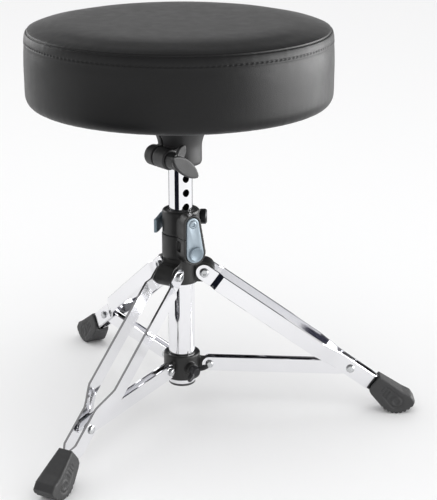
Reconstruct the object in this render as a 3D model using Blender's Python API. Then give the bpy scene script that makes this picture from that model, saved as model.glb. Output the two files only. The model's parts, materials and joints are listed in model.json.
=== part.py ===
"""Drum throne: round padded seat on a perforated height post, cast hub and folding braced tripod.

The scene is in metres, +Z up. The column's axis is Z, and the origin is the centre of the flat
face under the column's end cap. Leg 1 points along +X. All sizes below are millimetres, and the
helpers scale them. Constants ending in _Z, _LOW and _TOP are heights from the floor.

Tables: an OUTLINE that is revolved holds (radius, height), and STATIONS hold (distance along
the axis, radius). Other tables name their columns.
"""

import math

import bmesh
import bpy
import numpy as np
from mathutils import Matrix, Vector

MM = 0.001                  # millimetres to metres
GAP = 0.3                   # running gap between neighbouring pieces
MERGE = 0.000004            # points closer than this after a cut are one point, metres
OVERRUN = 3.0               # how far a cutting tool passes the end of a piece
ALONG_X, ALONG_Y, ALONG_Z = (1, 0, 0), (0, 1, 0), (0, 0, 1)
HALF_TURN, QUARTER_TURN = math.pi, math.pi / 2

# --- heights above the floor
CAP_Z = 34.0                # underside of the end cap, the origin
TUBE_LOW, TUBE_TOP = 36.8, 234.8
HUB_LOW, HUB_TOP = 157.0, 213.7
SLEEVE_LOW, SLEEVE_TOP = 214.1, 240.8
POST_LOW, POST_TOP = 84.0, 356.0
SOCKET_LOW, SOCKET_TOP = 292.0, 359.6
SEAT_LOW, SEAT_TOP = 360.0, 447.0
BOARD_LOW, BOARD_TOP = 362.4, 374.4
COLLAR_LOW, COLLAR_TOP = 43.0, 72.0
CLAMP_Z = 304.0             # socket clamp bolt
PIN_Z = 197.0               # height index pin
PLATE_SCREW_Z = 231.0
LEVER_Z = 223.5             # hub clamp bolt

# --- radii
TUBE_R, TUBE_BORE = 15.0, 13.5
POST_R, POST_BORE = 13.0, 11.5
CASTING_BORE = 15.3         # hub, sleeve and collar round the base tube
SEAT_R = 165.0
SEAT_BOLT_CIRCLE_R = 43.0

INDEX_AZIMUTH = math.radians(-60.0)     # the index pin, its plate and the post's holes face this way

# --- tripod linkage
LEGS = 3
LEG_AZIMUTHS = [-2 * math.pi * k / LEGS for k in range(LEGS)]
LEG_PIVOT_R, LEG_PIVOT_Z = 25.8, 170.4
BRACE_OUT_R, BRACE_OUT_Z = 190.9, 53.7
BRACE_IN_R, BRACE_IN_Z = 31.2, 58.0
LEG_RUN = math.hypot(BRACE_OUT_R - LEG_PIVOT_R, LEG_PIVOT_Z - BRACE_OUT_Z)
LEG_SLOPE = math.atan2(LEG_PIVOT_Z - BRACE_OUT_Z, BRACE_OUT_R - LEG_PIVOT_R)
BRACE_RUN = math.hypot(BRACE_OUT_R - BRACE_IN_R, BRACE_IN_Z - BRACE_OUT_Z)
BRACE_SLOPE = math.atan2(BRACE_IN_Z - BRACE_OUT_Z, BRACE_OUT_R - BRACE_IN_R)

FINISH = {
    # name: (colour, roughness, metallic)
    "vinyl": ((0.020, 0.020, 0.021), 0.48, 0.0),
    "foam": ((0.62, 0.58, 0.42), 0.95, 0.0),
    "plywood": ((0.50, 0.34, 0.19), 0.70, 0.0),
    "casting": ((0.022, 0.022, 0.021), 0.45, 0.0),
    "chrome": ((0.86, 0.87, 0.89), 0.09, 1.0),
    "zinc": ((0.62, 0.64, 0.66), 0.30, 1.0),
    "blue_grey": ((0.33, 0.42, 0.48), 0.38, 0.25),
    "rubber": ((0.045, 0.045, 0.045), 0.75, 0.0),
    "plastic": ((0.03, 0.03, 0.03), 0.50, 0.0),
    "black_steel": ((0.03, 0.03, 0.032), 0.35, 0.6),
}


# ------------------------------------------------------------------ scene helpers

def clear_scene():
    for item in list(bpy.data.objects):
        bpy.data.objects.remove(item, do_unlink=True)
    for block in (bpy.data.meshes, bpy.data.materials, bpy.data.curves):
        for item in list(block):
            block.remove(item)


def make_material(name, finish):
    colour, roughness, metallic = FINISH[finish]
    material = bpy.data.materials.new(name)
    material.use_nodes = True
    inputs = material.node_tree.nodes["Principled BSDF"].inputs
    inputs["Base Color"].default_value = (*colour, 1.0)
    inputs["Roughness"].default_value = roughness
    inputs["Metallic"].default_value = metallic
    material.diffuse_color = (*colour, 1.0)
    return material


def link_object(name, mesh=None):
    item = bpy.data.objects.new(name, mesh)
    bpy.context.scene.collection.objects.link(item)
    return item


def add_piece(name, mesh, finish, parent=None, at=(0, 0, 0), turn=(0, 0, 0), smooth=30.0):
    """A named piece with its own material; edges sharper than smooth degrees stay sharp."""
    piece = link_object(name, mesh)
    piece.parent = parent
    piece.location = Vector(at) * MM
    piece.rotation_euler = turn
    material = make_material(name, finish)
    if mesh.materials:      # a shared mesh already carries its first user's material
        piece.material_slots[0].link = "OBJECT"
        piece.material_slots[0].material = material
    else:
        mesh.name = name
        mesh.materials.append(material)
    mesh.shade_smooth()
    mesh.set_sharp_from_angle(angle=math.radians(smooth))


def add_guide(name, at=(0, 0, 0), turn=(0, 0, 0), parent=None):
    """An empty that stands on a joint's axis."""
    guide = link_object(name)
    guide.empty_display_size = 0.02
    guide.location = Vector(at) * MM
    guide.rotation_euler = turn
    guide.parent = parent
    return guide


# ------------------------------------------------------------------ points and outlines

def height(z):
    """A height above the floor as a height above the origin."""
    return z - CAP_Z


def direction(azimuth):
    return Vector((math.cos(azimuth), math.sin(azimuth), 0.0))


def polar(azimuth, radius, z=0.0):
    spot = direction(azimuth) * radius
    spot.z = z
    return spot


def arc(centre_x, centre_z, radius, start, stop, steps):
    return [(centre_x + radius * math.cos(angle), centre_z + radius * math.sin(angle))
            for angle in np.linspace(start, stop, steps + 1)]


def rectangle(left, right, low, high):
    return [(left, low), (right, low), (right, high), (left, high)]


def mirrored(half_outline):
    """Half an outline closed by its mirror image across the first axis."""
    return half_outline + [(x, -y) for x, y in reversed(half_outline)]


def double_headed(half_stations):
    """Stations of a bolt whose two ends match."""
    return [(-distance, radius) for distance, radius in reversed(half_stations)] + half_stations


# ------------------------------------------------------------------ solids

def to_mesh(solid, tidy=True):
    """The bmesh in millimetres as a mesh in metres, with its faces pointing out."""
    if tidy:
        bmesh.ops.remove_doubles(solid, verts=solid.verts[:], dist=0.0005)
    bmesh.ops.recalc_face_normals(solid, faces=solid.faces[:])
    bmesh.ops.scale(solid, vec=(MM, MM, MM), verts=solid.verts[:])
    mesh = bpy.data.meshes.new("part")
    solid.to_mesh(mesh)
    solid.free()
    return mesh


def revolve(outline, steps):
    """A closed (radius, height) outline spun once round Z."""
    solid = bmesh.new()
    ring = [solid.verts.new((radius, 0.0, z)) for radius, z in outline]
    edges = []
    for i in range(len(ring)):
        j = (i + 1) % len(ring)
        if not (outline[i][0] == 0.0 and outline[j][0] == 0.0):     # none along the axis
            edges.append(solid.edges.new((ring[i], ring[j])))
    bmesh.ops.spin(solid, geom=ring + edges, cent=(0, 0, 0), axis=ALONG_Z, dvec=(0, 0, 0),
                   angle=2 * math.pi, steps=steps, use_merge=True, use_duplicate=False)
    return to_mesh(solid)


def pipe(bore, radius, length, steps):
    return revolve([(bore, 0), (radius, 0), (radius, length), (bore, length)], steps)


def rod(stations, steps, axis=ALONG_Z, at=(0, 0, 0)):
    """A solid of revolution from (distance, radius) stations along an axis through a point."""
    outline = [(0.0, stations[0][0])]
    outline += [(radius, distance) for distance, radius in stations]
    outline += [(0.0, stations[-1][0])]
    mesh = revolve(outline, steps)
    turn = Vector(ALONG_Z).rotation_difference(Vector(axis)).to_matrix().to_4x4()
    mesh.transform(Matrix.Translation(Vector(at) * MM) @ turn)
    return mesh


def peg(radius, start, stop, steps, axis=ALONG_Z, at=(0, 0, 0)):
    return rod([(start, radius), (stop, radius)], steps, axis, at)


def on_plane(plane, across, up, out):
    return {"XZ": (across, out, up), "XY": (across, up, out), "YZ": (out, across, up)}[plane]


def prism(outline, low, high, plane="XZ", azimuth=0.0):
    """A flat outline pushed from low to high along the third axis, then swung round Z."""
    solid = bmesh.new()
    face = solid.faces.new([solid.verts.new(on_plane(plane, a, b, low)) for a, b in outline])
    pushed = bmesh.ops.extrude_face_region(solid, geom=[face])["geom"]
    moved = [item for item in pushed if isinstance(item, bmesh.types.BMVert)]
    bmesh.ops.translate(solid, vec=on_plane(plane, 0, 0, high - low), verts=moved)
    mesh = to_mesh(solid)
    mesh.transform(Matrix.Rotation(azimuth, 4, "Z"))
    return mesh


def skin_rings(solid, rings):
    """Faces between successive rings of vertices, and a cap on each end."""
    count = len(rings[0])
    for one, two in zip(rings, rings[1:]):
        for i in range(count):
            j = (i + 1) % count
            solid.faces.new((one[i], one[j], two[j], two[i]))
    solid.faces.new(rings[0][::-1])
    solid.faces.new(rings[-1])
    return to_mesh(solid, tidy=False)


def combine(mesh, tool, how):
    """Exact boolean of two meshes as a new mesh. Both inputs are used up."""
    holder = link_object("holder", mesh)
    helper = link_object("helper", tool)
    boolean = holder.modifiers.new("boolean", "BOOLEAN")
    boolean.operation = how
    boolean.solver = "EXACT"
    boolean.object = helper
    view = bpy.context.evaluated_depsgraph_get()
    view.update()
    result = bpy.data.meshes.new_from_object(holder.evaluated_get(view))
    solid = bmesh.new()
    solid.from_mesh(result)
    bmesh.ops.remove_doubles(solid, verts=solid.verts[:], dist=MERGE)
    bmesh.ops.dissolve_degenerate(solid, dist=MERGE, edges=solid.edges[:])
    solid.to_mesh(result)
    solid.free()
    for used in (holder, helper):
        bpy.data.objects.remove(used, do_unlink=True)
    for used in (mesh, tool):
        bpy.data.meshes.remove(used)
    return result


def cut(mesh, tool):
    return combine(mesh, tool, "DIFFERENCE")


def join(mesh, tool):
    return combine(mesh, tool, "UNION")


def cut_pivot(mesh, azimuth, pivot_r, z, radius):
    """A hole across a radial lug for its pivot bolt."""
    across = direction(azimuth + QUARTER_TURN)
    start = polar(azimuth, pivot_r, z) - across * 20.0
    return cut(mesh, peg(radius, 0, 40, 12, across, start))


def bevel_edges(mesh, width, pick):
    """Chamfer the folded edges that pick(mid point, direction) accepts."""
    solid = bmesh.new()
    solid.from_mesh(mesh)
    chosen = []
    for edge in solid.edges:
        start, end = (vert.co / MM for vert in edge.verts)
        folded = len(edge.link_faces) == 2 and edge.calc_face_angle(0.0) > 0.3
        if folded and pick((start + end) / 2, (end - start).normalized()):
            chosen.append(edge)
    bmesh.ops.bevel(solid, geom=chosen, offset=width * MM, segments=1, affect="EDGES", profile=0.5)
    solid.to_mesh(mesh)
    solid.free()


# ------------------------------------------------------------------ seat, heights from SEAT_LOW

SEAT_H = SEAT_TOP - SEAT_LOW
SKIN = 2.0
SKIN_R, SKIN_TOP = SEAT_R - SKIN, SEAT_H - SKIN     # inside of the cover
FOAM_R, FOAM_TOP = SKIN_R - 0.6, SKIN_TOP - 0.8
BOARD_BASE, BOARD_FACE = BOARD_LOW - SEAT_LOW, BOARD_TOP - SEAT_LOW
FOAM_BASE = BOARD_FACE + GAP
BOARD_HOLE_R = 3.6

COVER_OUTLINE = [
    # outside, from the lower lip to the crown
    (138.0, 0.0), (154.0, 0.0), (161.0, 2.6), (164.2, 9.0), (SEAT_R, 20.0), (SEAT_R, 68.0),
    (164.0, 75.8), (160.4, 81.0), (151.5, 84.2), (130.0, 86.2), (112.0, SEAT_H), (0.0, SEAT_H),
    # inside, back down to the lip
    (0.0, SKIN_TOP), (112.0, SKIN_TOP), (147.5, 82.5), (155.6, 79.6), (160.5, 74.8),
    (SKIN_R, 65.0), (SKIN_R, 20.0), (159.6, 4.4), (153.5, SKIN), (138.0, SKIN)]
FOAM_OUTLINE = [
    (0.0, FOAM_BASE), (158.0, FOAM_BASE), (FOAM_R, 24.0), (FOAM_R, 64.6), (159.8, 73.8),
    (154.9, 78.7), (147.0, 81.6), (111.0, FOAM_TOP), (0.0, FOAM_TOP)]
BOARD_OUTLINE = [
    (0.0, BOARD_BASE), (151.0, BOARD_BASE), (154.5, BOARD_BASE + 3.5), (156.5, BOARD_FACE),
    (0.0, BOARD_FACE)]
SEAT_BOLT_STATIONS = [(-10.6, 4.6), (-10.0, 5.4), (-6.3, 5.4), (-6.3, 3.0), (12.0, 3.0)]


def seat_bolt_spots():
    return [polar(math.radians(45 + 90 * k), SEAT_BOLT_CIRCLE_R) for k in range(4)]


def make_cushion(seat):
    add_piece("seat_cover", revolve(COVER_OUTLINE, 44), "vinyl", seat)
    add_piece("seat_foam", revolve(FOAM_OUTLINE, 36), "foam", seat)


def make_board(seat):
    board = revolve(BOARD_OUTLINE, 36)
    for spot in seat_bolt_spots():
        hole = peg(BOARD_HOLE_R, BOARD_BASE - OVERRUN, BOARD_FACE + OVERRUN, 12, at=spot)
        board = cut(board, hole)
    add_piece("seat_board", board, "plywood", seat)


def make_seat_bolts(seat):
    for i, spot in enumerate(seat_bolt_spots()):
        add_piece(f"seat_bolt_{i + 1}", rod(SEAT_BOLT_STATIONS, 12), "zinc", seat, spot)


# ------------------------------------------------------------------ seat socket and its clamp

SOCKET_H = SOCKET_TOP - SOCKET_LOW
SOCKET_BORE = POST_R + 0.35
NECK_R, NECK_H = 23.6, 18.0                 # straight neck below the flare
FLARE_OUT, FLARE_H, FLARE_POWER = 27.5, 41.0, 2.1
FLANGE_R = 55.0
CLAMP_AZIMUTH = math.radians(-50.0)         # along the clamp bolt, towards its wing knob
CLAMP_SIDE = CLAMP_AZIMUTH - QUARTER_TURN   # from the column's axis to the bolt
CLAMP_OFFSET = 28.0                         # bolt axis from the column's axis
CLAMP_R, CLAMP_FAR, CLAMP_NEAR = 11.3, -15.0, 20.0      # barrel radius and ends along the bolt

BARREL_STATIONS = [
    (CLAMP_FAR, CLAMP_R - 2.4), (CLAMP_FAR + 1.0, CLAMP_R - 0.8), (CLAMP_FAR + 2.6, CLAMP_R),
    (CLAMP_NEAR - 1.0, CLAMP_R), (CLAMP_NEAR, CLAMP_R - 1.0)]
BARREL_BORE_STATIONS = [
    (-30.0, 7.6), (CLAMP_FAR + 5.4, 7.6), (CLAMP_FAR + 5.4, 4.5), (60.0, 4.5)]
CLAMP_BOLT_STATIONS = [
    (CLAMP_FAR - 0.4, 5.6), (CLAMP_FAR + 0.6, 7.0), (CLAMP_FAR + 5.1, 7.0),
    (CLAMP_FAR + 5.1, 4.1), (29.8, 4.1)]
KNOB_STATIONS = [(20.5, 8.4), (21.5, 9.2), (32.0, 9.2)]
KNOB_BLADES = [
    # tail x, tip x, half width, turn in degrees, low, high
    (-9.4, 12.0, 7.6, -38.0, 21.4, 31.0),
    (-10.6, 33.0, 8.4, -38.0, 30.2, 34.2),
    (0.0, 19.5, 5.6, 62.0, 28.4, 32.6)]
BLADE_SHAPE = [
    # share of the length, share of the half width
    (0.0, 0.06), (0.08, 0.38), (0.20, 0.72), (0.36, 0.95), (0.52, 1.0), (0.70, 0.90),
    (0.85, 0.66), (0.95, 0.38), (1.0, 0.14)]


def socket_outline():
    outline = [(SOCKET_BORE, 0.0), (21.6, 0.0), (23.2, 1.8), (NECK_R, 5.0), (NECK_R, NECK_H)]
    for share in np.linspace(0.2, 1.0, 5):
        outline.append((NECK_R + FLARE_OUT * share ** FLARE_POWER, NECK_H + FLARE_H * share))
    outline += [(54.0, 60.2), (FLANGE_R, 61.4), (FLANGE_R, SOCKET_H), (SOCKET_BORE, SOCKET_H)]
    return outline


def make_socket(seat):
    """Flared socket under the board, with a slit and a clamp barrel beside the post."""
    bolt_z = CLAMP_Z - SOCKET_LOW
    bolt_axis = direction(CLAMP_AZIMUTH)
    bolt_at = polar(CLAMP_SIDE, CLAMP_OFFSET, bolt_z)
    web_inner = 14.5
    web = [(web_inner, bolt_z - 8.8), (CLAMP_OFFSET, bolt_z - CLAMP_R + 0.2),
           (CLAMP_OFFSET, bolt_z + CLAMP_R - 0.2), (web_inner, bolt_z + 9.0)]
    slit = rectangle(3.0, 60.0, -OVERRUN, 52.0)
    socket = revolve(socket_outline(), 32)
    socket = join(socket, rod(BARREL_STATIONS, 28, bolt_axis, bolt_at))
    socket = join(socket, prism(web, -13.0, 17.0, azimuth=CLAMP_SIDE))
    socket = cut(socket, prism(slit, -1.2, 1.2, azimuth=CLAMP_SIDE))
    # a hair wider than the bore, so that the two walls don't coincide
    socket = cut(socket, peg(SOCKET_BORE + 0.002, -OVERRUN, SOCKET_H + OVERRUN, 32))
    socket = cut(socket, rod(BARREL_BORE_STATIONS, 16, bolt_axis, bolt_at))
    for spot in seat_bolt_spots():
        socket = cut(socket, peg(3.4, SOCKET_H - 12.0, SOCKET_H + OVERRUN, 12, at=spot))
        # flat seat for the bolt head under the flange
        socket = cut(socket, peg(7.4, SOCKET_H - 30.0, SOCKET_H - 5.6, 16, at=spot))
    base = (0, 0, SOCKET_LOW - SEAT_LOW)
    add_piece("seat_socket", socket, "casting", seat, base, smooth=38)


def blade_outline(tail, tip, half):
    """Almond outline along X, from a pointed tail to a blunt tip."""
    return mirrored([(tail + (tip - tail) * along, -half * width)
                     for along, width in BLADE_SHAPE])


def make_wing_knob(clamp):
    knob = rod(KNOB_STATIONS, 20)
    for tail, tip, half, turn, low, high in KNOB_BLADES:
        blade = prism(blade_outline(tail, tip, half), low, high, "XY", math.radians(turn))
        knob = join(knob, blade)
    knob = cut(knob, peg(4.5, 10.0, 30.4, 12))
    add_piece("wing_knob", knob, "casting", clamp, smooth=38)


def make_clamp(seat):
    """Clamp bolt and knob on a guide whose +Z runs along the bolt towards the knob."""
    spot = polar(CLAMP_SIDE, CLAMP_OFFSET, CLAMP_Z - SEAT_LOW)
    turn = (QUARTER_TURN, 0.0, CLAMP_AZIMUTH + QUARTER_TURN)
    clamp = add_guide("clamp_axis", spot, turn, seat)
    add_piece("clamp_bolt", rod(CLAMP_BOLT_STATIONS, 12), "black_steel", clamp)
    make_wing_knob(clamp)


# ------------------------------------------------------------------ column

HOLE_PITCH, HOLE_R = 16.0, 4.0
HOLES_BELOW, HOLES_ABOVE = 6, 5             # post holes each side of the one on the pin
TUBE_HOLE_R = 4.5
CAP_FLANGE = TUBE_LOW - CAP_Z - GAP         # thickness of the end cap below the tube

POST_PLUG_STATIONS = [
    (-3.0, 11.6), (-2.2, 12.8), (-GAP, 12.8), (-GAP, 11.1), (10.0, 11.1), (11.0, 10.2)]
END_CAP_STATIONS = [
    (0.0, 13.6), (1.4, TUBE_R), (CAP_FLANGE, TUBE_R), (CAP_FLANGE, 13.15), (10.0, 13.15),
    (11.0, 12.4)]
BUSH_OUTLINE = [
    (POST_R + GAP, 0.0), (16.6, 0.0), (16.6, 4.6), (15.6, 5.6), (POST_R + GAP, 5.6)]


def index_hole(radius, steps, z):
    """Tool for a hole through one wall of the column, on the index side."""
    return peg(radius, 6.0, 20.0, steps, direction(INDEX_AZIMUTH), (0, 0, z))


def make_post(post_guide):
    post = pipe(POST_BORE, POST_R, POST_TOP - POST_LOW, 28)
    for k in range(-HOLES_BELOW, HOLES_ABOVE + 1):
        post = cut(post, index_hole(HOLE_R, 10, PIN_Z + HOLE_PITCH * k - POST_LOW))
    base = (0, 0, height(POST_LOW))
    add_piece("height_post", post, "chrome", post_guide, base, smooth=35)
    add_piece("post_plug", rod(POST_PLUG_STATIONS, 24), "plastic", post_guide, base)


def make_base_tube():
    tube = pipe(TUBE_BORE, TUBE_R, TUBE_TOP - TUBE_LOW, 36)
    tube = cut(tube, index_hole(TUBE_HOLE_R, 14, PIN_Z - TUBE_LOW))
    add_piece("base_tube", tube, "chrome", at=(0, 0, height(TUBE_LOW)))
    add_piece("base_end_cap", rod(END_CAP_STATIONS, 28), "plastic")
    bush_at = (0, 0, height(TUBE_TOP + GAP))
    add_piece("guide_bush", revolve(BUSH_OUTLINE, 28), "plastic", at=bush_at)


# ------------------------------------------------------------------ index pad

PAD_FACE = 30.5                         # cover plate's bed, from the column's axis
PLATE_LEAN = -2.8                       # the plate screw stands this far to one side of the pin
PLATE_BIG, PLATE_SMALL = 10.2, 7.1      # plate's radii round the index pin and round its screw


def teardrop(grow, low_z, high_z):
    """Outline round the index pin and the plate screw, as (across, height)."""
    big, small = PLATE_BIG + grow, PLATE_SMALL + grow
    rise = high_z - low_z
    up = math.atan2(rise, PLATE_LEAN)
    lean = math.asin((big - small) / math.hypot(PLATE_LEAN, rise))
    left, right = up + QUARTER_TURN - lean, up + 1.5 * HALF_TURN + lean
    return (arc(0, low_z, big, left, right, 14)
            + arc(PLATE_LEAN, high_z, small, up - QUARTER_TURN + lean, left, 8))


def index_pad(base_z, keep_low, keep_high):
    """The pad under the cover plate, with a low rim, cut to one casting's heights."""
    pin, screw = PIN_Z - base_z, PLATE_SCREW_Z - base_z
    pad = prism(teardrop(3.4, pin, screw), 8.0, PAD_FACE + 1.5, "YZ")
    pad = cut(pad, prism(teardrop(0.6, pin, screw), PAD_FACE, PAD_FACE + 6.0, "YZ"))
    keep = prism(rectangle(0.0, 60.0, keep_low - base_z, keep_high - base_z), -30.0, 30.0)
    pad = combine(pad, keep, "INTERSECT")
    pad.transform(Matrix.Rotation(INDEX_AZIMUTH, 4, "Z"))
    return pad


# ------------------------------------------------------------------ height sleeve and its lever

SLEEVE_R = 20.5
SLEEVE_H = SLEEVE_TOP - SLEEVE_LOW
BUSH_SEAT_R = 16.9                      # wider bore above the base tube
LEVER_Y = 26.0                          # clamp bolt's axis, which runs along X
LUG_LEFT, LUG_RIGHT = -13.0, 20.2       # ends of the clamp lug along its bolt
LEVER_BORE = 4.4

SLEEVE_OUTLINE = [
    (CASTING_BORE, 0), (SLEEVE_R, 0), (SLEEVE_R, SLEEVE_H - 2.2), (SLEEVE_R - 1.6, SLEEVE_H),
    (CASTING_BORE, SLEEVE_H)]
SLEEVE_LUG_STATIONS = [
    (LUG_LEFT, 8.2), (LUG_LEFT + 1.0, 9.0), (LUG_RIGHT - 1.0, 9.0), (LUG_RIGHT, 8.2)]
HUB_CLAMP_STATIONS = [
    (-23.0, 4.0), (LUG_RIGHT + GAP, 4.0), (LUG_RIGHT + GAP, 7.8), (LUG_RIGHT + 1.3, 8.6),
    (LUG_RIGHT + 6.8, 8.6), (LUG_RIGHT + 8.3, 7.0)]
LEVER_HUB_STATIONS = [(-21.8, 7.2), (-21.0, 8.0), (LUG_LEFT - 0.4, 8.0)]
LEVER_ARM = [
    # x, y
    (-18.6, 4.0), (-21.2, -8.0), (-24.2, -24.0), (-26.6, -30.0), (-29.6, -30.0),
    (-27.4, -22.0), (-24.0, -4.0), (-21.6, 4.0)]


def make_sleeve():
    """Split sleeve on top of the hub, with a clamp lug on its +Y side."""
    bolt_z = LEVER_Z - SLEEVE_LOW
    bolt_at = (0, LEVER_Y, bolt_z)
    tube_end = TUBE_TOP - SLEEVE_LOW + 0.1
    bore = [(-OVERRUN, CASTING_BORE), (tube_end, CASTING_BORE), (tube_end, BUSH_SEAT_R),
            (SLEEVE_H + OVERRUN, BUSH_SEAT_R)]
    block = rectangle(-12.0, 12.5, bolt_z - 8.6, bolt_z + 8.6)
    slit = rectangle(-1.1, 1.1, -OVERRUN, SLEEVE_H + OVERRUN)
    screw_at = polar(INDEX_AZIMUTH + QUARTER_TURN, PLATE_LEAN, PLATE_SCREW_Z - SLEEVE_LOW)
    sleeve = revolve(SLEEVE_OUTLINE, 32)
    sleeve = join(sleeve, index_pad(SLEEVE_LOW, SLEEVE_LOW, SLEEVE_TOP - 0.4))
    sleeve = join(sleeve, rod(SLEEVE_LUG_STATIONS, 20, ALONG_X, bolt_at))
    sleeve = join(sleeve, prism(block, 14.0, LEVER_Y))
    sleeve = cut(sleeve, rod(bore, 32))
    sleeve = cut(sleeve, peg(LEVER_BORE, -30, 30, 12, ALONG_X, bolt_at))
    sleeve = cut(sleeve, prism(slit, 8.0, 45.0))
    sleeve = cut(sleeve, peg(2.5, PAD_FACE - 9.0, PAD_FACE + 5.0, 10,
                             direction(INDEX_AZIMUTH), screw_at))
    add_piece("height_sleeve", sleeve, "casting", at=(0, 0, height(SLEEVE_LOW)), smooth=38)


def make_lever():
    """Cross bolt of the sleeve and its lever, which points to -Y."""
    bolt_at = (0, LEVER_Y, height(LEVER_Z))
    add_piece("hub_clamp_bolt", rod(HUB_CLAMP_STATIONS, 16, ALONG_X), "black_steel", at=bolt_at)
    lever = rod(LEVER_HUB_STATIONS, 20, ALONG_X)
    lever = join(lever, prism(LEVER_ARM, -10.0, 5.5, "XY"))
    lever = cut(lever, peg(LEVER_BORE, -40, 0, 12, ALONG_X))
    add_piece("hub_clamp_lever", lever, "blue_grey", at=bolt_at, smooth=35)


# ------------------------------------------------------------------ leg hub

HUB_R, HUB_WAIST_R = 21.0, 19.3
HUB_H = HUB_TOP - HUB_LOW
HUB_LUG_HALF, HUB_LUG_R = 10.7, 11.6    # half width, and radius round the leg pivot

HUB_OUTLINE = [
    (CASTING_BORE, 0), (HUB_WAIST_R - 1.2, 0), (HUB_WAIST_R, 1.4), (HUB_WAIST_R, 27.0),
    (HUB_R, 31.0), (HUB_R, HUB_H), (CASTING_BORE, HUB_H)]
PIN_POCKET_STATIONS = [(5.0, 4.6), (21.5, 4.6), (21.5, 7.3), (PAD_FACE + 6.0, 7.3)]


def make_hub():
    """Casting round the base tube, with a lug for each leg and a pocket for the index pin."""
    pivot_z = LEG_PIVOT_Z - HUB_LOW
    lug = [(8.0, pivot_z - HUB_LUG_R)]
    lug += arc(LEG_PIVOT_R, pivot_z, HUB_LUG_R, -QUARTER_TURN, QUARTER_TURN, 10)
    lug += [(18.0, pivot_z + 16.0), (8.0, pivot_z + 20.0)]
    hub = revolve(HUB_OUTLINE, 32)
    for azimuth in LEG_AZIMUTHS:
        hub = join(hub, prism(lug, -HUB_LUG_HALF, HUB_LUG_HALF, azimuth=-azimuth))
    hub = join(hub, index_pad(HUB_LOW, PIN_Z - 20.0, HUB_TOP))
    hub = cut(hub, peg(CASTING_BORE, -OVERRUN, HUB_H + OVERRUN, 32))
    hub = cut(hub, rod(PIN_POCKET_STATIONS, 16, direction(INDEX_AZIMUTH), (0, 0, PIN_Z - HUB_LOW)))
    for azimuth in LEG_AZIMUTHS:
        hub = cut_pivot(hub, -azimuth, LEG_PIVOT_R, pivot_z, 3.4)
    add_piece("leg_hub", hub, "casting", at=(0, 0, height(HUB_LOW)), smooth=38)


# ------------------------------------------------------------------ index pin, built along +X

PLATE_BACK, PLATE_FRONT = PAD_FACE + GAP, PAD_FACE + 2.8
HEAD_BACK = PLATE_FRONT + GAP           # back of the heads in front of the plate
SCREW_RISE = PLATE_SCREW_Z - PIN_Z

PLATE_SCREW_STATIONS = [
    (PAD_FACE - 7.5, 2.0), (HEAD_BACK, 2.0), (HEAD_BACK, 3.5), (PAD_FACE + 4.3, 3.2),
    (PAD_FACE + 5.0, 2.0)]
BUTTON_STATIONS = [
    (13.4, 3.4), (14.0, 4.0), (21.9, 4.0), (21.9, 6.8), (23.4, 6.8), (23.4, 4.0),
    (HEAD_BACK, 4.0), (HEAD_BACK, 8.1), (PAD_FACE + 5.7, 8.1), (PAD_FACE + 6.6, 7.3),
    (PAD_FACE + 6.6, 6.6), (PAD_FACE + 6.0, 5.4)]

COIL_TURNS, COIL_STEPS, WIRE_SIDES = 2.5, 12, 5     # turns, steps in a turn, sides of the wire
COIL_R, WIRE_R = 5.5, 0.4
COIL_START, COIL_END = 23.9, 25.7                   # wire's centre along X


def make_index_plate(side):
    plate = prism(teardrop(0.0, 0, SCREW_RISE), PLATE_BACK, PLATE_FRONT, "YZ")
    bevel_edges(plate, 0.7, lambda middle, along: middle.x > PAD_FACE + 2.5)
    plate = cut(plate, peg(4.4, 20, 50, 12, ALONG_X))
    plate = cut(plate, peg(2.3, 20, 50, 10, ALONG_X, (0, PLATE_LEAN, SCREW_RISE)))
    add_piece("index_plate", plate, "blue_grey", side, smooth=35)


def make_index_spring(side):
    """Coil round the pin, outward of its shoulder."""
    solid = bmesh.new()
    steps = int(COIL_TURNS * COIL_STEPS)
    rings = []
    for i in range(steps + 1):
        angle = 2 * math.pi * i / COIL_STEPS
        out = Vector((0, math.cos(angle), math.sin(angle)))
        centre = Vector((COIL_START + (COIL_END - COIL_START) * i / steps,
                         COIL_R * math.cos(angle), COIL_R * math.sin(angle)))
        ring = []
        for k in range(WIRE_SIDES):
            turn = 2 * math.pi * k / WIRE_SIDES
            offset = math.cos(turn) * out + math.sin(turn) * Vector(ALONG_X)
            ring.append(solid.verts.new(centre + WIRE_R * offset))
        rings.append(ring)
    add_piece("index_spring", skin_rings(solid, rings), "zinc", side)


def make_index():
    """Cover plate, its screw, the index pin and its spring, turned to the index side."""
    side = add_guide("index_side", (0, 0, height(PIN_Z)), (0, 0, INDEX_AZIMUTH))
    make_index_plate(side)
    screw = rod(PLATE_SCREW_STATIONS, 12, ALONG_X, (0, PLATE_LEAN, SCREW_RISE))
    add_piece("plate_screw", screw, "blue_grey", side)
    button = rod(BUTTON_STATIONS, 18, ALONG_X)
    add_piece("index_button", button, "blue_grey", side, smooth=32)
    make_index_spring(side)


# ------------------------------------------------------------------ flat bars, built along +X

SIDES = {"left": 1, "right": -1}        # +Y and -Y of a leg's or brace's own frame
END_START = math.radians(12.0)          # a round end's arc starts here, leaving a blunt nose
END_STEPS = 4


def round_end(centre, radius, flip=False):
    """(distance, half height) along a bar's round end; flip faces it the other way."""
    end = []
    for k in range(END_STEPS + 1):
        angle = END_START + (QUARTER_TURN - END_START) * k / END_STEPS
        end.append((centre - radius * math.cos(angle), radius * math.sin(angle)))
    if flip:
        end = [(2 * centre - x, half) for x, half in reversed(end)]
    return end


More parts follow.
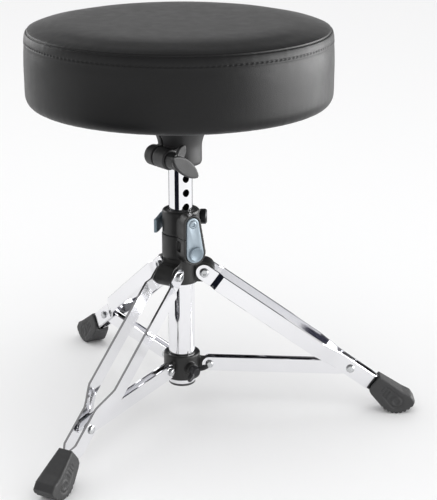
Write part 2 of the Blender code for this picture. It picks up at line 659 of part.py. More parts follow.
def bar_pair(stations, thick, holes):
    """Left and right bars from (distance, half height, inner offset) and (distance, radius)."""
    bars = {}
    for label, side in SIDES.items():
        solid = bmesh.new()
        rings = []
        for x, half, inner in stations:
            outer = inner + thick
            corners = ((inner, -half), (inner, half), (outer, half), (outer, -half))
            rings.append([solid.verts.new((x, side * y, z)) for y, z in corners])
        bar = skin_rings(solid, rings)
        for x, radius in holes:
            bar = cut(bar, peg(radius, -30, 30, 10, ALONG_Y, (x, 0, 0)))
        bars[label] = bar
    return bars


# ------------------------------------------------------------------ lower collar and braces

COLLAR_R, COLLAR_H = 20.5, COLLAR_TOP - COLLAR_LOW
COLLAR_LUG_HALF, COLLAR_LUG_R = 2.5, 6.6
COLLAR_PIVOT_Z = BRACE_IN_Z - COLLAR_LOW    # brace pivots and screw above the collar's underside
BRACE_T, BRACE_HALF = 2.2, 16.5 / 2         # bar thickness and half height
BRACE_INNER = COLLAR_LUG_HALF + GAP
BOLT_HEAD = BRACE_INNER + BRACE_T + GAP     # inner face of a brace bolt's head

COLLAR_OUTLINE = [
    (CASTING_BORE, 0), (COLLAR_R - 1.4, 0), (COLLAR_R, 1.6), (COLLAR_R, COLLAR_H - 1.6),
    (COLLAR_R - 1.4, COLLAR_H), (CASTING_BORE, COLLAR_H)]
COLLAR_BOSS_STATIONS = [(16.0, 7.0), (25.5, 7.0), (26.5, 6.0)]
COLLAR_SCREW_STATIONS = [
    (15.5, 2.4), (16.2, 3.0), (27.0, 3.0), (27.0, 5.6), (34.0, 5.0), (35.0, 4.0)]
SCREW_WING = [
    # x, y of the +Y wing
    (28.5, 0.0), (28.5, 3.0), (33.0, 11.5), (37.0, 14.5), (40.5, 13.0), (39.0, 8.0),
    (34.0, 3.0), (34.0, 0.0)]
BRACE_BOLT_STATIONS = double_headed([
    (BOLT_HEAD, 2.5), (BOLT_HEAD, 4.5), (BOLT_HEAD + 2.2, 4.5), (BOLT_HEAD + 2.9, 3.6)])


def make_collar(slider):
    lug = [(16.5, COLLAR_PIVOT_Z - 8.0)]
    lug += arc(BRACE_IN_R, COLLAR_PIVOT_Z, COLLAR_LUG_R, -QUARTER_TURN, QUARTER_TURN, 8)
    lug += [(16.5, COLLAR_PIVOT_Z + 8.0)]
    screw_axis, screw_at = direction(INDEX_AZIMUTH), (0, 0, COLLAR_PIVOT_Z)
    collar = revolve(COLLAR_OUTLINE, 32)
    for azimuth in LEG_AZIMUTHS:
        collar = join(collar, prism(lug, -COLLAR_LUG_HALF, COLLAR_LUG_HALF, azimuth=azimuth))
    collar = join(collar, rod(COLLAR_BOSS_STATIONS, 16, screw_axis, screw_at))
    collar = cut(collar, peg(CASTING_BORE, -OVERRUN, COLLAR_H + OVERRUN, 32))
    collar = cut(collar, peg(3.4, 8.0, 32.0, 12, screw_axis, screw_at))
    for azimuth in LEG_AZIMUTHS:
        collar = cut_pivot(collar, azimuth, BRACE_IN_R, COLLAR_PIVOT_Z, 2.9)
    add_piece("lower_collar", collar, "casting", slider, smooth=38)


def make_collar_screw(slider):
    screw = rod(COLLAR_SCREW_STATIONS, 14, ALONG_X)
    for side in SIDES.values():
        wing = [(x, y * side) for x, y in SCREW_WING]
        screw = join(screw, prism(wing, -1.5, 1.5, "XY"))
    add_piece("collar_screw", screw, "black_steel", slider, (0, 0, COLLAR_PIVOT_Z),
              (0.5, 0, INDEX_AZIMUTH), smooth=38)


def make_braces(slider):
    side_view = (round_end(0.0, BRACE_HALF) + [(BRACE_RUN - 12.0, BRACE_HALF)]
                 + round_end(BRACE_RUN, 7.0, flip=True))
    stations = [(x, half, BRACE_INNER) for x, half in side_view]
    bars = bar_pair(stations, BRACE_T, [(0, 2.8)])
    bolt = rod(BRACE_BOLT_STATIONS, 10, ALONG_Y)
    for i, azimuth in enumerate(LEG_AZIMUTHS):
        name = f"brace_{i + 1}"
        spot = polar(azimuth, BRACE_IN_R, COLLAR_PIVOT_Z)
        hinge = add_guide(f"{name}_axis", spot, (0, BRACE_SLOPE, azimuth), slider)
        for label, bar in bars.items():
            add_piece(f"{name}_bar_{label}", bar, "chrome", hinge, smooth=35)
        add_piece(f"{name}_bolt", bolt, "zinc", slider, spot, (0, 0, azimuth))


# ------------------------------------------------------------------ legs and feet

LEG_T, LEG_HALF = 2.8, 18.5 / 2         # bar thickness and half height
# inner face of a leg bar: at the pivot, along the leg, at the brace, in the foot
LEG_IN_PIVOT, LEG_IN_WIDE, LEG_IN_BRACE, LEG_IN_FOOT = 11.0, 14.6, 5.3, 0.6
RIVET_HEAD = LEG_IN_BRACE + LEG_T       # outer face of the bar under a rivet's head

# foot, in the leg's own XZ plane from the brace pivot
FOOT_X, FOOT_Z, FOOT_HALF = 62.0, 6.0, 12.5     # centre of the tread, half width
FOOT_R = BRACE_OUT_Z - (FOOT_X * math.sin(LEG_SLOPE) - FOOT_Z * math.cos(LEG_SLOPE))
TOOTH_STEP, TOOTH_FLAT = math.radians(13.0), math.radians(3.4)  # pitch, half width of a tip
TEETH_EACH_SIDE = 4
NOTCH_DEPTH = 1.9
ANKLE_X, ANKLE_SHARE, ANKLE_RUN = 32.4, 0.70, 32.0      # narrowed to this share over this run

LEG_STATIONS = [
    # distance, half height, inner offset; these follow the round end at the pivot
    (14.0, LEG_HALF, LEG_IN_PIVOT), (20.5, LEG_HALF, LEG_IN_WIDE),
    (156.0, LEG_HALF, LEG_IN_WIDE), (184.0, LEG_HALF, LEG_IN_BRACE),
    (LEG_RUN + 26.0, LEG_HALF, LEG_IN_BRACE), (LEG_RUN + 37.0, LEG_HALF, LEG_IN_FOOT),
    (LEG_RUN + 57.0, LEG_HALF - 0.6, LEG_IN_FOOT)]
LEG_BOLT_STATIONS = double_headed([(14.1, 3.0), (14.1, 5.2), (16.4, 5.2), (17.2, 4.2)])
RIVET_STATIONS = [
    (LEG_IN_BRACE + 0.1, 2.5), (RIVET_HEAD + GAP, 2.5), (RIVET_HEAD + GAP, 4.8),
    (RIVET_HEAD + 1.8, 4.6), (RIVET_HEAD + 2.6, 3.2)]
FOOT_TOP = [(33.4, 11.8), (65.0, 12.6), (76.0, 14.2), (83.6, 11.4)]     # x, z
FOOT_ANKLE = [(39.0, -11.8), (34.6, -9.8), (ANKLE_X, -4.0)]             # x, z
FOOT_MOUTH = [
    # x, half width of the opening for the leg bars
    (20.0, RIVET_HEAD + 0.5), (27.5, RIVET_HEAD + 0.4),
    (38.0, LEG_IN_FOOT + LEG_T + 0.45), (58.0, LEG_IN_FOOT + LEG_T + 0.45)]


def tread():
    """Toothed arc of the foot, centred on the way down to the floor."""
    down = math.atan2(-math.cos(LEG_SLOPE), math.sin(LEG_SLOPE))
    tip = FOOT_R / math.cos(TOOTH_FLAT)
    points = []
    for i in range(TEETH_EACH_SIDE, -TEETH_EACH_SIDE - 1, -1):
        middle = down + i * TOOTH_STEP
        for share, radius in ((1.0, tip), (-1.0, tip), (-2.5, FOOT_R - NOTCH_DEPTH)):
            angle = middle + share * TOOTH_FLAT
            points.append((FOOT_X + radius * math.cos(angle), FOOT_Z + radius * math.sin(angle)))
    return points[:-1]      # no notch after the last tooth


def foot_mesh():
    foot = prism(FOOT_TOP + tread() + FOOT_ANKLE, -FOOT_HALF, FOOT_HALF)
    bevel_edges(foot, 2.6, lambda middle, along: (
        middle.z > 9.0 and middle.x > 27.0 and abs(along.y) < 0.5))
    for vert in foot.vertices:      # narrower towards the ankle
        run = min(1.0, (vert.co.x / MM - ANKLE_X) / ANKLE_RUN)
        vert.co.y *= ANKLE_SHARE + (1.0 - ANKLE_SHARE) * run
    half = LEG_HALF + 0.35
    return cut(foot, prism(mirrored(FOOT_MOUTH), -half, half, "XY"))


def make_legs():
    stations = [(x, half, LEG_IN_PIVOT) for x, half in round_end(0.0, LEG_HALF)] + LEG_STATIONS
    bars = bar_pair(stations, LEG_T, [(0, 3.3), (LEG_RUN, 2.9)])
    foot = foot_mesh()
    bolt = rod(LEG_BOLT_STATIONS, 12, ALONG_Y)
    rivets = {label: rod(RIVET_STATIONS, 10, (0, side, 0)) for label, side in SIDES.items()}
    brace_pivot = (LEG_RUN, 0, 0)
    for i, azimuth in enumerate(LEG_AZIMUTHS):
        name = f"leg_{i + 1}"
        spot = polar(azimuth, LEG_PIVOT_R, height(LEG_PIVOT_Z))
        leg = add_guide(f"{name}_axis", spot, (0, LEG_SLOPE, azimuth))
        for label in SIDES:
            add_piece(f"{name}_bar_{label}", bars[label], "chrome", leg, smooth=35)
            add_piece(f"{name}_rivet_{label}", rivets[label], "zinc", leg, brace_pivot)
        add_piece(f"{name}_foot", foot, "rubber", leg, brace_pivot)
        add_piece(f"{name}_pivot_bolt", bolt, "zinc", at=spot, turn=(0, 0, azimuth))


def build():
    clear_scene()
    post_guide = add_guide("height_slide")
    seat = add_guide("seat_swivel", (0, 0, height(SEAT_LOW)), parent=post_guide)
    make_cushion(seat)
    make_board(seat)
    make_socket(seat)
    make_seat_bolts(seat)
    make_clamp(seat)
    make_post(post_guide)
    make_base_tube()
    make_sleeve()
    make_lever()
    make_hub()
    make_index()
    slider = add_guide("collar_slide", (0, 0, height(COLLAR_LOW)))
    make_collar(slider)
    make_collar_screw(slider)
    make_braces(slider)
    make_legs()


build()
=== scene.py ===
import json
import math

import bmesh
import bpy
import numpy as np
from mathutils import Matrix, Vector, kdtree


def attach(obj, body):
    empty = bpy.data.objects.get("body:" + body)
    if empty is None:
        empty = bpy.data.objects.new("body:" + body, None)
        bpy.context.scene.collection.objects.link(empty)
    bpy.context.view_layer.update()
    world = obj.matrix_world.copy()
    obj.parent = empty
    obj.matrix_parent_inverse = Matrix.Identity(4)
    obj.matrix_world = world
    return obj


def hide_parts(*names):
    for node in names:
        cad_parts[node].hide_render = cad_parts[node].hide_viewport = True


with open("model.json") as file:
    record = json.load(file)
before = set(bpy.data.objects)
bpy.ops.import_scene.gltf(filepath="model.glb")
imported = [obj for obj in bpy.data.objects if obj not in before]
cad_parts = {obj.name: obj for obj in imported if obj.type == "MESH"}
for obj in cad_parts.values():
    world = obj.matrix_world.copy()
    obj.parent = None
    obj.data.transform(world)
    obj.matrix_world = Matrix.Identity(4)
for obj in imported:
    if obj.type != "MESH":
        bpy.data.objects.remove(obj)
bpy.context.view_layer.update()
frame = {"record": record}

# ------------------------------------------------------------------ sizes, mm; heights above the floor
MM = 0.001
GAP = 0.3
FLOOR = 34.0
TUBE_LOW, TUBE_TOP = 36.8, 234.8
HUB_LOW, HUB_TOP = 157.0, 213.7
SLEEVE_LOW, SLEEVE_TOP = 214.1, 240.8
POST_LOW, POST_TOP = 84.0, 356.0
SOCKET_LOW, SOCKET_TOP = 292.0, 359.6
SEAT_LOW, SEAT_TOP = 360.0, 447.0
BOARD_LOW, BOARD_TOP = 362.4, 374.4
CLAMP_Z, PIN_Z, PLATE_SCREW_Z, LEVER_Z = 304.0, 197.0, 231.0, 223.5
TUBE_R, TUBE_BORE = 15.0, 13.5
POST_R, POST_BORE = 13.0, 11.5
SEAT_R = 165.0
HUB_R, HUB_WAIST_R, CASTING_BORE = 21.0, 19.3, 15.3
SLEEVE_R = COLLAR_R = 20.5
HOLE_PITCH, HOLE_R = 16.0, 4.0
INDEX_AZ = math.radians(-60.0)
LEG_PIVOT_R, LEG_PIVOT_Z = 25.8, 170.4
BRACE_OUT_R, BRACE_OUT_Z = 190.9, 53.7
BRACE_IN_R, BRACE_IN_Z = 31.2, 58.0
LEG_RUN = math.hypot(BRACE_OUT_R - LEG_PIVOT_R, LEG_PIVOT_Z - BRACE_OUT_Z)
LEG_SLOPE = math.atan2(LEG_PIVOT_Z - BRACE_OUT_Z, BRACE_OUT_R - LEG_PIVOT_R)
BRACE_RUN = math.hypot(BRACE_OUT_R - BRACE_IN_R, BRACE_IN_Z - BRACE_OUT_Z)
BRACE_SLOPE = math.atan2(BRACE_IN_Z - BRACE_OUT_Z, BRACE_OUT_R - BRACE_IN_R)
BAR_T, BAR_H = 2.8, 18.5
BRACE_T, BRACE_H = 2.2, 16.5
LUG_HALF = 10.7
W_PIVOT, W_WIDE, W_NARROW, W_FOOT = 11.0, 14.6, 5.3, 0.6
COLLAR_LUG_HALF = 2.5
COLLAR_LOW, COLLAR_TOP = 43.0, 72.0
FOOT_CX, FOOT_CZ, FOOT_HALF = 62.0, 6.0, 12.5
FOOT_R = BRACE_OUT_Z - (FOOT_CX * math.sin(LEG_SLOPE) - FOOT_CZ * math.cos(LEG_SLOPE))
TOOTH_STEP = math.radians(13.0)
CLAMP_OFF, CLAMP_AZ = 28.0, math.radians(-50.0)
CLAMP_R, CLAMP_FAR, CLAMP_NEAR = 11.3, -15.0, 20.0
LUG_LEFT, LUG_RIGHT = -13.0, 20.2
PLATE_BIG, PLATE_SMALL, PLATE_LEAN = 10.2, 7.1, -2.8
BOSS_FACE, LEVER_Y, SOCKET_BOLT_R = 30.5, 26.0, 43.0
COIL = 96         # steps round a turned piece


# ------------------------------------------------------------------ mesh tools
def up(z):
    """Millimetres above the floor to metres in the row frame."""
    return (z - FLOOR) * MM


def direction(az):
    return Vector((math.cos(az), math.sin(az), 0.0))


def close(name, bm, tidy=True):
    if tidy:
        bmesh.ops.remove_doubles(bm, verts=bm.verts[:], dist=0.0005)
    bmesh.ops.recalc_face_normals(bm, faces=bm.faces[:])
    bmesh.ops.scale(bm, vec=(MM, MM, MM), verts=bm.verts[:])
    mesh = bpy.data.meshes.new(name)
    bm.to_mesh(mesh)
    bm.free()
    return mesh


def thing(name, mesh):
    ob = bpy.data.objects.new(name, mesh)
    bpy.context.scene.collection.objects.link(ob)
    return ob


def turned(name, profile, steps=None):
    bm = bmesh.new()
    ring = [bm.verts.new((r, 0.0, z)) for r, z in profile]
    edges = [bm.edges.new((ring[i], ring[(i + 1) % len(ring)])) for i in range(len(ring))
             if not (profile[i][0] == 0.0 and profile[(i + 1) % len(ring)][0] == 0.0)]
    bmesh.ops.spin(bm, geom=ring + edges, cent=(0, 0, 0), axis=(0, 0, 1), dvec=(0, 0, 0),
                   angle=2 * math.pi, steps=steps or COIL, use_merge=True, use_duplicate=False)
    return close(name, bm)


def prism(name, outline, low, high, plane="XZ"):
    bm = bmesh.new()
    if plane == "XZ":
        put = lambda a, b, c: (a, c, b)
    elif plane == "XY":
        put = lambda a, b, c: (a, b, c)
    else:
        put = lambda a, b, c: (c, a, b)
    face = bm.faces.new([bm.verts.new(put(a, b, low)) for a, b in outline])
    out = bmesh.ops.extrude_face_region(bm, geom=[face])
    moved = [v for v in out["geom"] if isinstance(v, bmesh.types.BMVert)]
    bmesh.ops.translate(bm, vec=put(0, 0, high - low), verts=moved)
    return close(name, bm)


def arc(cx, cz, r, start, stop, steps):
    return [(cx + r * math.cos(a), cz + r * math.sin(a)) for a in np.linspace(start, stop, steps + 1)]


def rod(name, stations, steps=None, axis=(0, 0, 1), at=(0, 0, 0)):
    profile = [(0.0, stations[0][0])] + [(r, d) for d, r in stations] + [(0.0, stations[-1][0])]
    mesh = turned(name, profile, steps or max(24, COIL // 2))
    turn = Vector((0, 0, 1)).rotation_difference(Vector(axis)).to_matrix().to_4x4()
    mesh.transform(Matrix.Translation(Vector(at) * MM) @ turn)
    return mesh


def settle(ob):
    """Keep what the object's modifiers make of it."""
    view = bpy.context.evaluated_depsgraph_get()
    view.update()
    made = bpy.data.meshes.new_from_object(ob.evaluated_get(view))
    ob.modifiers.clear()
    old = ob.data
    ob.data = made
    bpy.data.meshes.remove(old)
    return ob


def filled(mesh):
    """Volume inside a mesh."""
    bm = bmesh.new()
    bm.from_mesh(mesh)
    v = abs(bm.calc_volume(signed=True))
    bm.free()
    return v


def combine(ob, other, how="DIFFERENCE"):
    """Boolean with another mesh; a result whose volume can't be right is made again with the tool shifted by a few microns."""
    before, extra = filled(ob.data), filled(other)
    spare = ob.data.copy()
    for go in range(4):
        tool = thing(ob.name + "_tool", other)
        tool.location = (go * 0.000004, go * 0.000003, go * -0.000005)
        mod = ob.modifiers.new("cut", "BOOLEAN")
        mod.operation, mod.solver, mod.object = how, "EXACT", tool
        settle(ob)
        bm = bmesh.new()
        bm.from_mesh(ob.data)
        bmesh.ops.remove_doubles(bm, verts=bm.verts[:], dist=0.000003)
        bmesh.ops.dissolve_degenerate(bm, dist=0.000003, edges=bm.edges[:])
        bm.to_mesh(ob.data)
        bm.free()
        bpy.data.objects.remove(tool, do_unlink=True)
        now = filled(ob.data)
        if how == "UNION":
            good = max(before, extra) * 0.998 <= now <= (before + extra) * 1.002
        else:
            good = before - extra * 1.002 - 1e-12 <= now <= before * 1.002 and now > before * 0.02
        if good:
            break
        print("again", ob.name, how, go, before, extra, now)
        if go < 3:
            wrong = ob.data
            ob.data = spare.copy()
            bpy.data.meshes.remove(wrong)
    bpy.data.meshes.remove(spare)
    return ob


def joined(name, meshes):
    """Several closed shapes in one mesh, to be fused by cast()."""
    bm = bmesh.new()
    for m in meshes:
        bm.from_mesh(m)
    mesh = bpy.data.meshes.new(name)
    bm.to_mesh(mesh)
    bm.free()
    return thing(name, mesh)


def cast(ob, voxel=0.8, passes=5, factor=0.5):
    """Turn a sharp assembly of shapes into one cast skin with soft fillets."""
    before = filled(ob.data)
    spare = ob.data.copy()
    for go in range(4):
        mod = ob.modifiers.new("skin", "REMESH")
        mod.mode = "VOXEL"
        mod.voxel_size = voxel * MM * 1.0 * (1.0 + 0.04 * go)
        mod.use_smooth_shade = True
        mod = ob.modifiers.new("soft", "SMOOTH")
        mod.factor, mod.iterations = factor, passes
        settle(ob)
        if 0.6 * before < filled(ob.data) < 1.25 * before:
            break
        print("again cast", ob.name, go, before, filled(ob.data))
        if go < 3:
            wrong = ob.data
            ob.data = spare.copy()
            bpy.data.meshes.remove(wrong)
    bpy.data.meshes.remove(spare)
    return ob


def soften(ob, width=0.3, segments=2, angle=40.0):
    """Round the edges sharper than the angle."""
    mod = ob.modifiers.new("edge", "BEVEL")
    mod.width, mod.segments = width * MM, segments
    mod.limit_method, mod.angle_limit = "ANGLE", math.radians(angle)
    mod.use_clamp_overlap = True
    return settle(ob)


def done(ob, body, nodes, mat, angle=35.0):
    if mat is not None:
        ob.data.materials.clear()
        ob.data.materials.append(mat)
    ob.data.shade_smooth()
    ob.data.set_sharp_from_angle(angle=math.radians(angle))
    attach(ob, body)
    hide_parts(*nodes)
    return ob


def smooth(t):
    t = min(1.0, max(0.0, t))
    return t * t * (3 - 2 * t)


# ------------------------------------------------------------------ finishes
def node(tree, kind, **values):
    n = tree.nodes.new(kind)
    for key, value in values.items():
        if key in n.inputs:
            n.inputs[key].default_value = value
        else:
            setattr(n, key, value)
    return n


def surface(name, colour, rough, metal=0.0, specular=0.5, tint=0.12, patch=30.0, spread=0.06, rub=220.0,
            grain=900.0, bump=0.1, depth=0.0002, wear=None, wear_at=0.56, stretch=None, leather=0.0, sheen=0.0, coat=0.0):
    """A finish with patches of colour, uneven gloss, a fine grain and, where asked, rubbed edges."""
    mat = bpy.data.materials.new(name)
    mat.use_nodes = True
    t = mat.node_tree
    p = t.nodes["Principled BSDF"]
    p.inputs["Metallic"].default_value = metal
    p.inputs["Specular IOR Level"].default_value = specular
    p.inputs["Sheen Weight"].default_value = sheen
    p.inputs["Coat Weight"].default_value = coat
    coord = node(t, "ShaderNodeTexCoord")
    place = node(t, "ShaderNodeMapping")
    if stretch:
        place.inputs["Scale"].default_value = stretch
    t.links.new(coord.outputs["Object"], place.inputs["Vector"])
    at = place.outputs["Vector"]

    def noise(scale, detail=4.0):
        n = node(t, "ShaderNodeTexNoise", Scale=scale, Detail=detail)
        t.links.new(at, n.inputs["Vector"])
        return n.outputs["Fac"]

    mix = node(t, "ShaderNodeMix", data_type="RGBA")
    mix.inputs[6].default_value = (*[c * (1 - tint) for c in colour], 1)
    mix.inputs[7].default_value = (*[min(1.0, c * (1 + tint)) for c in colour], 1)
    t.links.new(noise(patch), mix.inputs[0])
    shade = mix.outputs[2]
    if wear is not None:
        geo = node(t, "ShaderNodeNewGeometry")
        edge = node(t, "ShaderNodeMapRange")
        edge.inputs["From Min"].default_value, edge.inputs["From Max"].default_value = wear_at, wear_at + 0.10
        edge.inputs["To Max"].default_value = 0.75
        t.links.new(geo.outputs["Pointiness"], edge.inputs["Value"])
        broken = node(t, "ShaderNodeMath", operation="MULTIPLY")
        t.links.new(edge.outputs["Result"], broken.inputs[0])
        t.links.new(noise(170.0), broken.inputs[1])
        over = node(t, "ShaderNodeMix", data_type="RGBA")
        over.inputs[7].default_value = (*wear, 1)
        t.links.new(broken.outputs[0], over.inputs[0])
        t.links.new(shade, over.inputs[6])
        shade = over.outputs[2]
    t.links.new(shade, p.inputs["Base Color"])
    gloss = node(t, "ShaderNodeMapRange")
    gloss.inputs["From Min"].default_value, gloss.inputs["From Max"].default_value = 0.3, 0.7
    gloss.inputs["To Min"].default_value, gloss.inputs["To Max"].default_value = max(0.02, rough - spread), rough + spread
    t.links.new(noise(rub), gloss.inputs["Value"])
    t.links.new(gloss.outputs["Result"], p.inputs["Roughness"])
    relief = noise(grain, 3.0)
    if leather:
        cells = node(t, "ShaderNodeTexVoronoi", feature="DISTANCE_TO_EDGE", Scale=leather)
        t.links.new(at, cells.inputs["Vector"])
        round_off = node(t, "ShaderNodeMapRange", interpolation_type="SMOOTHSTEP")
        round_off.inputs["From Max"].default_value = 0.35
        t.links.new(cells.outputs["Distance"], round_off.inputs["Value"])
        both = node(t, "ShaderNodeMath", operation="MULTIPLY_ADD")
        both.inputs[1].default_value = 0.35
        t.links.new(relief, both.inputs[0])
        t.links.new(round_off.outputs["Result"], both.inputs[2])
        relief = both.outputs[0]
    b = node(t, "ShaderNodeBump", Strength=bump, Distance=depth)
    t.links.new(relief, b.inputs["Height"])
    t.links.new(b.outputs["Normal"], p.inputs["Normal"])
    return mat


def wood(name):
    mat = surface(name, (0.50, 0.33, 0.18), 0.62, tint=0.25, patch=18.0, stretch=(1.0, 9.0, 30.0), grain=60.0, bump=0.25)
    t = mat.node_tree
    p = t.nodes["Principled BSDF"]
    coord = node(t, "ShaderNodeTexCoord")
    plies = node(t, "ShaderNodeTexWave", wave_type="BANDS", bands_direction="Z", Scale=95.0, Distortion=0.6)
    t.links.new(coord.outputs["Object"], plies.inputs["Vector"])
    old = p.inputs["Base Color"].links[0].from_socket
    over = node(t, "ShaderNodeMix", data_type="RGBA", blend_type="MULTIPLY")
    ramp = node(t, "ShaderNodeMapRange")
    ramp.inputs["To Min"].default_value = 0.55
    t.links.new(plies.outputs["Fac"], ramp.inputs["Value"])
    over.inputs[0].default_value = 0.6
    t.links.new(old, over.inputs[6])
    t.links.new(ramp.outputs["Result"], over.inputs[7])
    t.links.new(over.outputs[2], p.inputs["Base Color"])
    return mat


STAIN = surface("black_stain", (0.020, 0.019, 0.018), 0.66, tint=0.3, patch=26.0, stretch=(1.0, 7.0, 1.0), grain=90.0, bump=0.3)
VINYL = surface("vinyl", (0.0070, 0.0070, 0.0073), 0.41, specular=0.24, tint=0.16, patch=26.0, spread=0.028, rub=90.0,
                grain=2400.0, bump=0.16, depth=0.00025, leather=820.0, sheen=0.05)
THREAD = surface("thread", (0.005, 0.005, 0.0055), 0.62, specular=0.25, grain=3000.0, bump=0.5, stretch=(1, 1, 3))
FOAM = surface("foam", (0.62, 0.57, 0.40), 0.95, tint=0.08, grain=700.0, bump=0.8, depth=0.0006)
WOOD = wood("plywood")
CASTING = surface("casting", (0.025, 0.025, 0.0258), 0.48, tint=0.20, patch=60.0, spread=0.08, rub=120.0,
                  grain=1300.0, bump=0.22, depth=0.0003, wear=(0.16, 0.16, 0.16), wear_at=0.57)
HUB_CASTING = surface("hub_casting", (0.012, 0.012, 0.0117), 0.42, tint=0.22, patch=60.0, spread=0.08, rub=120.0,
                      grain=1300.0, bump=0.20, depth=0.0003, wear=(0.12, 0.12, 0.12), wear_at=0.57)
CHROME = surface("chrome", (0.88, 0.88, 0.90), 0.075, metal=1.0, tint=0.02, spread=0.03, rub=70.0, grain=420.0,
                 bump=0.02, depth=0.0001)
TUBE_CHROME = surface("tube_chrome", (0.88, 0.88, 0.90), 0.06, metal=1.0, tint=0.02, spread=0.025, rub=55.0, grain=300.0,
                      bump=0.015, depth=0.0001, stretch=(1, 1, 0.15))
# painted shade: a near-black, rough material for the inner faces of the tubes, standing in for the shade inside the
# bore and the index holes
PAINTED_BORE_SHADE = surface("tube_inside_painted_shade", (0.03, 0.03, 0.032), 0.6, metal=0.6, grain=500.0, bump=0.3)
ZINC = surface("zinc", (0.60, 0.61, 0.62), 0.28, metal=1.0, tint=0.12, patch=200.0, spread=0.09, rub=400.0, grain=900.0, bump=0.12)
BLUE = surface("blue_grey", (0.36, 0.43, 0.485), 0.50, metal=0.25, tint=0.08, patch=90.0, spread=0.07, rub=260.0,
               grain=500.0, bump=0.08, stretch=(1, 1, 0.25), wear=(0.62, 0.66, 0.70), wear_at=0.56)
BLUE_DARK = surface("blue_grey_dark", (0.19, 0.25, 0.29), 0.38, metal=0.35, tint=0.10, patch=90.0, spread=0.07, rub=260.0,
                    grain=500.0, bump=0.08, wear=(0.45, 0.50, 0.54), wear_at=0.57)
BLUE_MID = surface("blue_grey_mid", (0.24, 0.30, 0.35), 0.48, metal=0.25, tint=0.10, patch=90.0, spread=0.07, rub=260.0,
                   grain=500.0, bump=0.08, wear=(0.62, 0.66, 0.70), wear_at=0.56)
RUBBER = surface("rubber", (0.036, 0.036, 0.037), 0.58, tint=0.18, patch=50.0, spread=0.08, grain=1500.0, bump=0.35,
                 depth=0.0004, wear=(0.13, 0.13, 0.13), wear_at=0.60)
PLASTIC = surface("plastic", (0.022, 0.022, 0.023), 0.48, grain=1400.0, bump=0.2)
STEEL = surface("black_steel", (0.030, 0.030, 0.032), 0.34, metal=0.55, grain=900.0, bump=0.12, wear=(0.22, 0.22, 0.23), wear_at=0.56)


# ------------------------------------------------------------------ seat
STITCHES = 182
AROUND = 728


def outline_curve():
    """The cover's outer outline from the hem round to the middle of the top, as (radius, height over the hem)."""
    pts = [(138.0, 0.0), (147.0, 0.0), (154.0, 0.5), (160.4, 3.4), (163.9, 9.4), (164.8, 18.0), (165.0, 34.0), (165.0, 52.0),
           (164.8, 67.0), (164.0, 75.2), (161.4, 80.2), (154.6, 83.4), (142.0, 85.3), (124.0, 86.5), (104.0, 87.1), (80.0, 87.3),
           (56.0, 87.4), (28.0, 87.5), (0.0, 87.5)]
    p = [np.array(q) for q in pts]
    p = [2 * p[0] - p[1]] + p + [2 * p[-1] - p[-2]]
    out = []
    for i in range(1, len(p) - 2):
        a, b, c, d = p[i - 1:i + 3]
        for u in np.linspace(0, 1, 24, endpoint=False):
            out.append(0.5 * (2 * b + (c - a) * u + (2 * a - 5 * b + 4 * c - d) * u * u + (3 * b - a - 3 * c + d) * u ** 3))
    out.append(p[-2])
    return np.array(out)


CURVE = outline_curve()
ARC = np.concatenate([[0.0], np.cumsum(np.linalg.norm(np.diff(CURVE, axis=0), axis=1))])
SEAM_AT = float(ARC[np.argmin(np.abs(CURVE[:, 1] - 79.6) + (CURVE[:, 0] < 150) * 99)])
ROW_AT = float(ARC[np.argmin(np.abs(CURVE[:, 1] - 69.6) + (CURVE[:, 0] < 150) * 99)])


def on_curve(s):
    r, z = np.interp(s, ARC, CURVE[:, 0]), np.interp(s, ARC, CURVE[:, 1])
    e = 0.4
    dr = np.interp(s + e, ARC, CURVE[:, 0]) - np.interp(s - e, ARC, CURVE[:, 0])
    dz = np.interp(s + e, ARC, CURVE[:, 1]) - np.interp(s - e, ARC, CURVE[:, 1])
    n = np.array([dz, -dr])
    n = n / max(1e-9, np.linalg.norm(n))
    return r, z, n


def simulate_pad():
    """Inflate the foam slightly against its skin. Gives the rest points and the soft displacement, in metres."""
    base = BOARD_TOP - SEAT_LOW + GAP
    profile = [(0.0, base), (157.6, base), (161.6, 22.0), (162.2, 30.0), (162.2, 62.0), (160.4, 72.6), (155.0, 78.8), (146.0, 81.8),
               (128.0, 83.4), (110.0, 84.0), (0.0, 84.0)]
    ob = thing("seat_foam_pad", turned("pad", profile, 96))
    mod = ob.modifiers.new("even", "REMESH")
    mod.mode, mod.voxel_size = "VOXEL", 0.005
    settle(ob)
    rest = np.array([v.co for v in ob.data.vertices], float).reshape(-1, 3)
    moved = np.zeros_like(rest)
    held = ob.vertex_groups.new(name="held")
    for i, co in enumerate(rest):
        if co[2] < (base + 3.0) * MM:
            held.add([i], 1.0, "REPLACE")
    cloth = ob.modifiers.new("soft", "CLOTH")
    s = cloth.settings
    s.quality = 6
    s.mass = 0.25
    s.tension_stiffness = s.compression_stiffness = 30.0
    s.shear_stiffness = 12.0
    s.bending_stiffness = 2.0
    s.use_pressure = True
    s.uniform_pressure_force = 4.0
    s.effector_weights.gravity = 0.0
    s.vertex_group_mass = "held"
    cloth.collision_settings.use_collision = False
    cloth.collision_settings.use_self_collision = False
    cloth.point_cache.frame_start, cloth.point_cache.frame_end = 1, 20
    scene = bpy.context.scene
    scene.frame_start, scene.frame_end = 1, 20
    for f in range(1, 21):
        scene.frame_set(f)
    view = bpy.context.evaluated_depsgraph_get()
    made = ob.evaluated_get(view).data
    now = np.array([v.co for v in made.vertices], float).reshape(-1, 3)
    moved = now - rest
    size = np.linalg.norm(moved, axis=1)
    cap = 1.6 * MM
    moved *= np.where(size > cap, cap / np.maximum(size, 1e-12), 1.0)[:, None]
    ob.modifiers.clear()
    scene.frame_set(1)
    print("pad: points", len(rest), "largest free movement mm", round(float(size.max()) * 1000, 2))
    ob.data.vertices.foreach_set("co", (rest + moved).astype(np.float32).ravel())
    ob.data.update()
    mod = ob.modifiers.new("fine", "SUBSURF")
    mod.levels = mod.render_levels = 1
    settle(ob)
    ob.data.transform(Matrix.Translation((0, 0, up(SEAT_LOW))))
    return ob, rest, moved


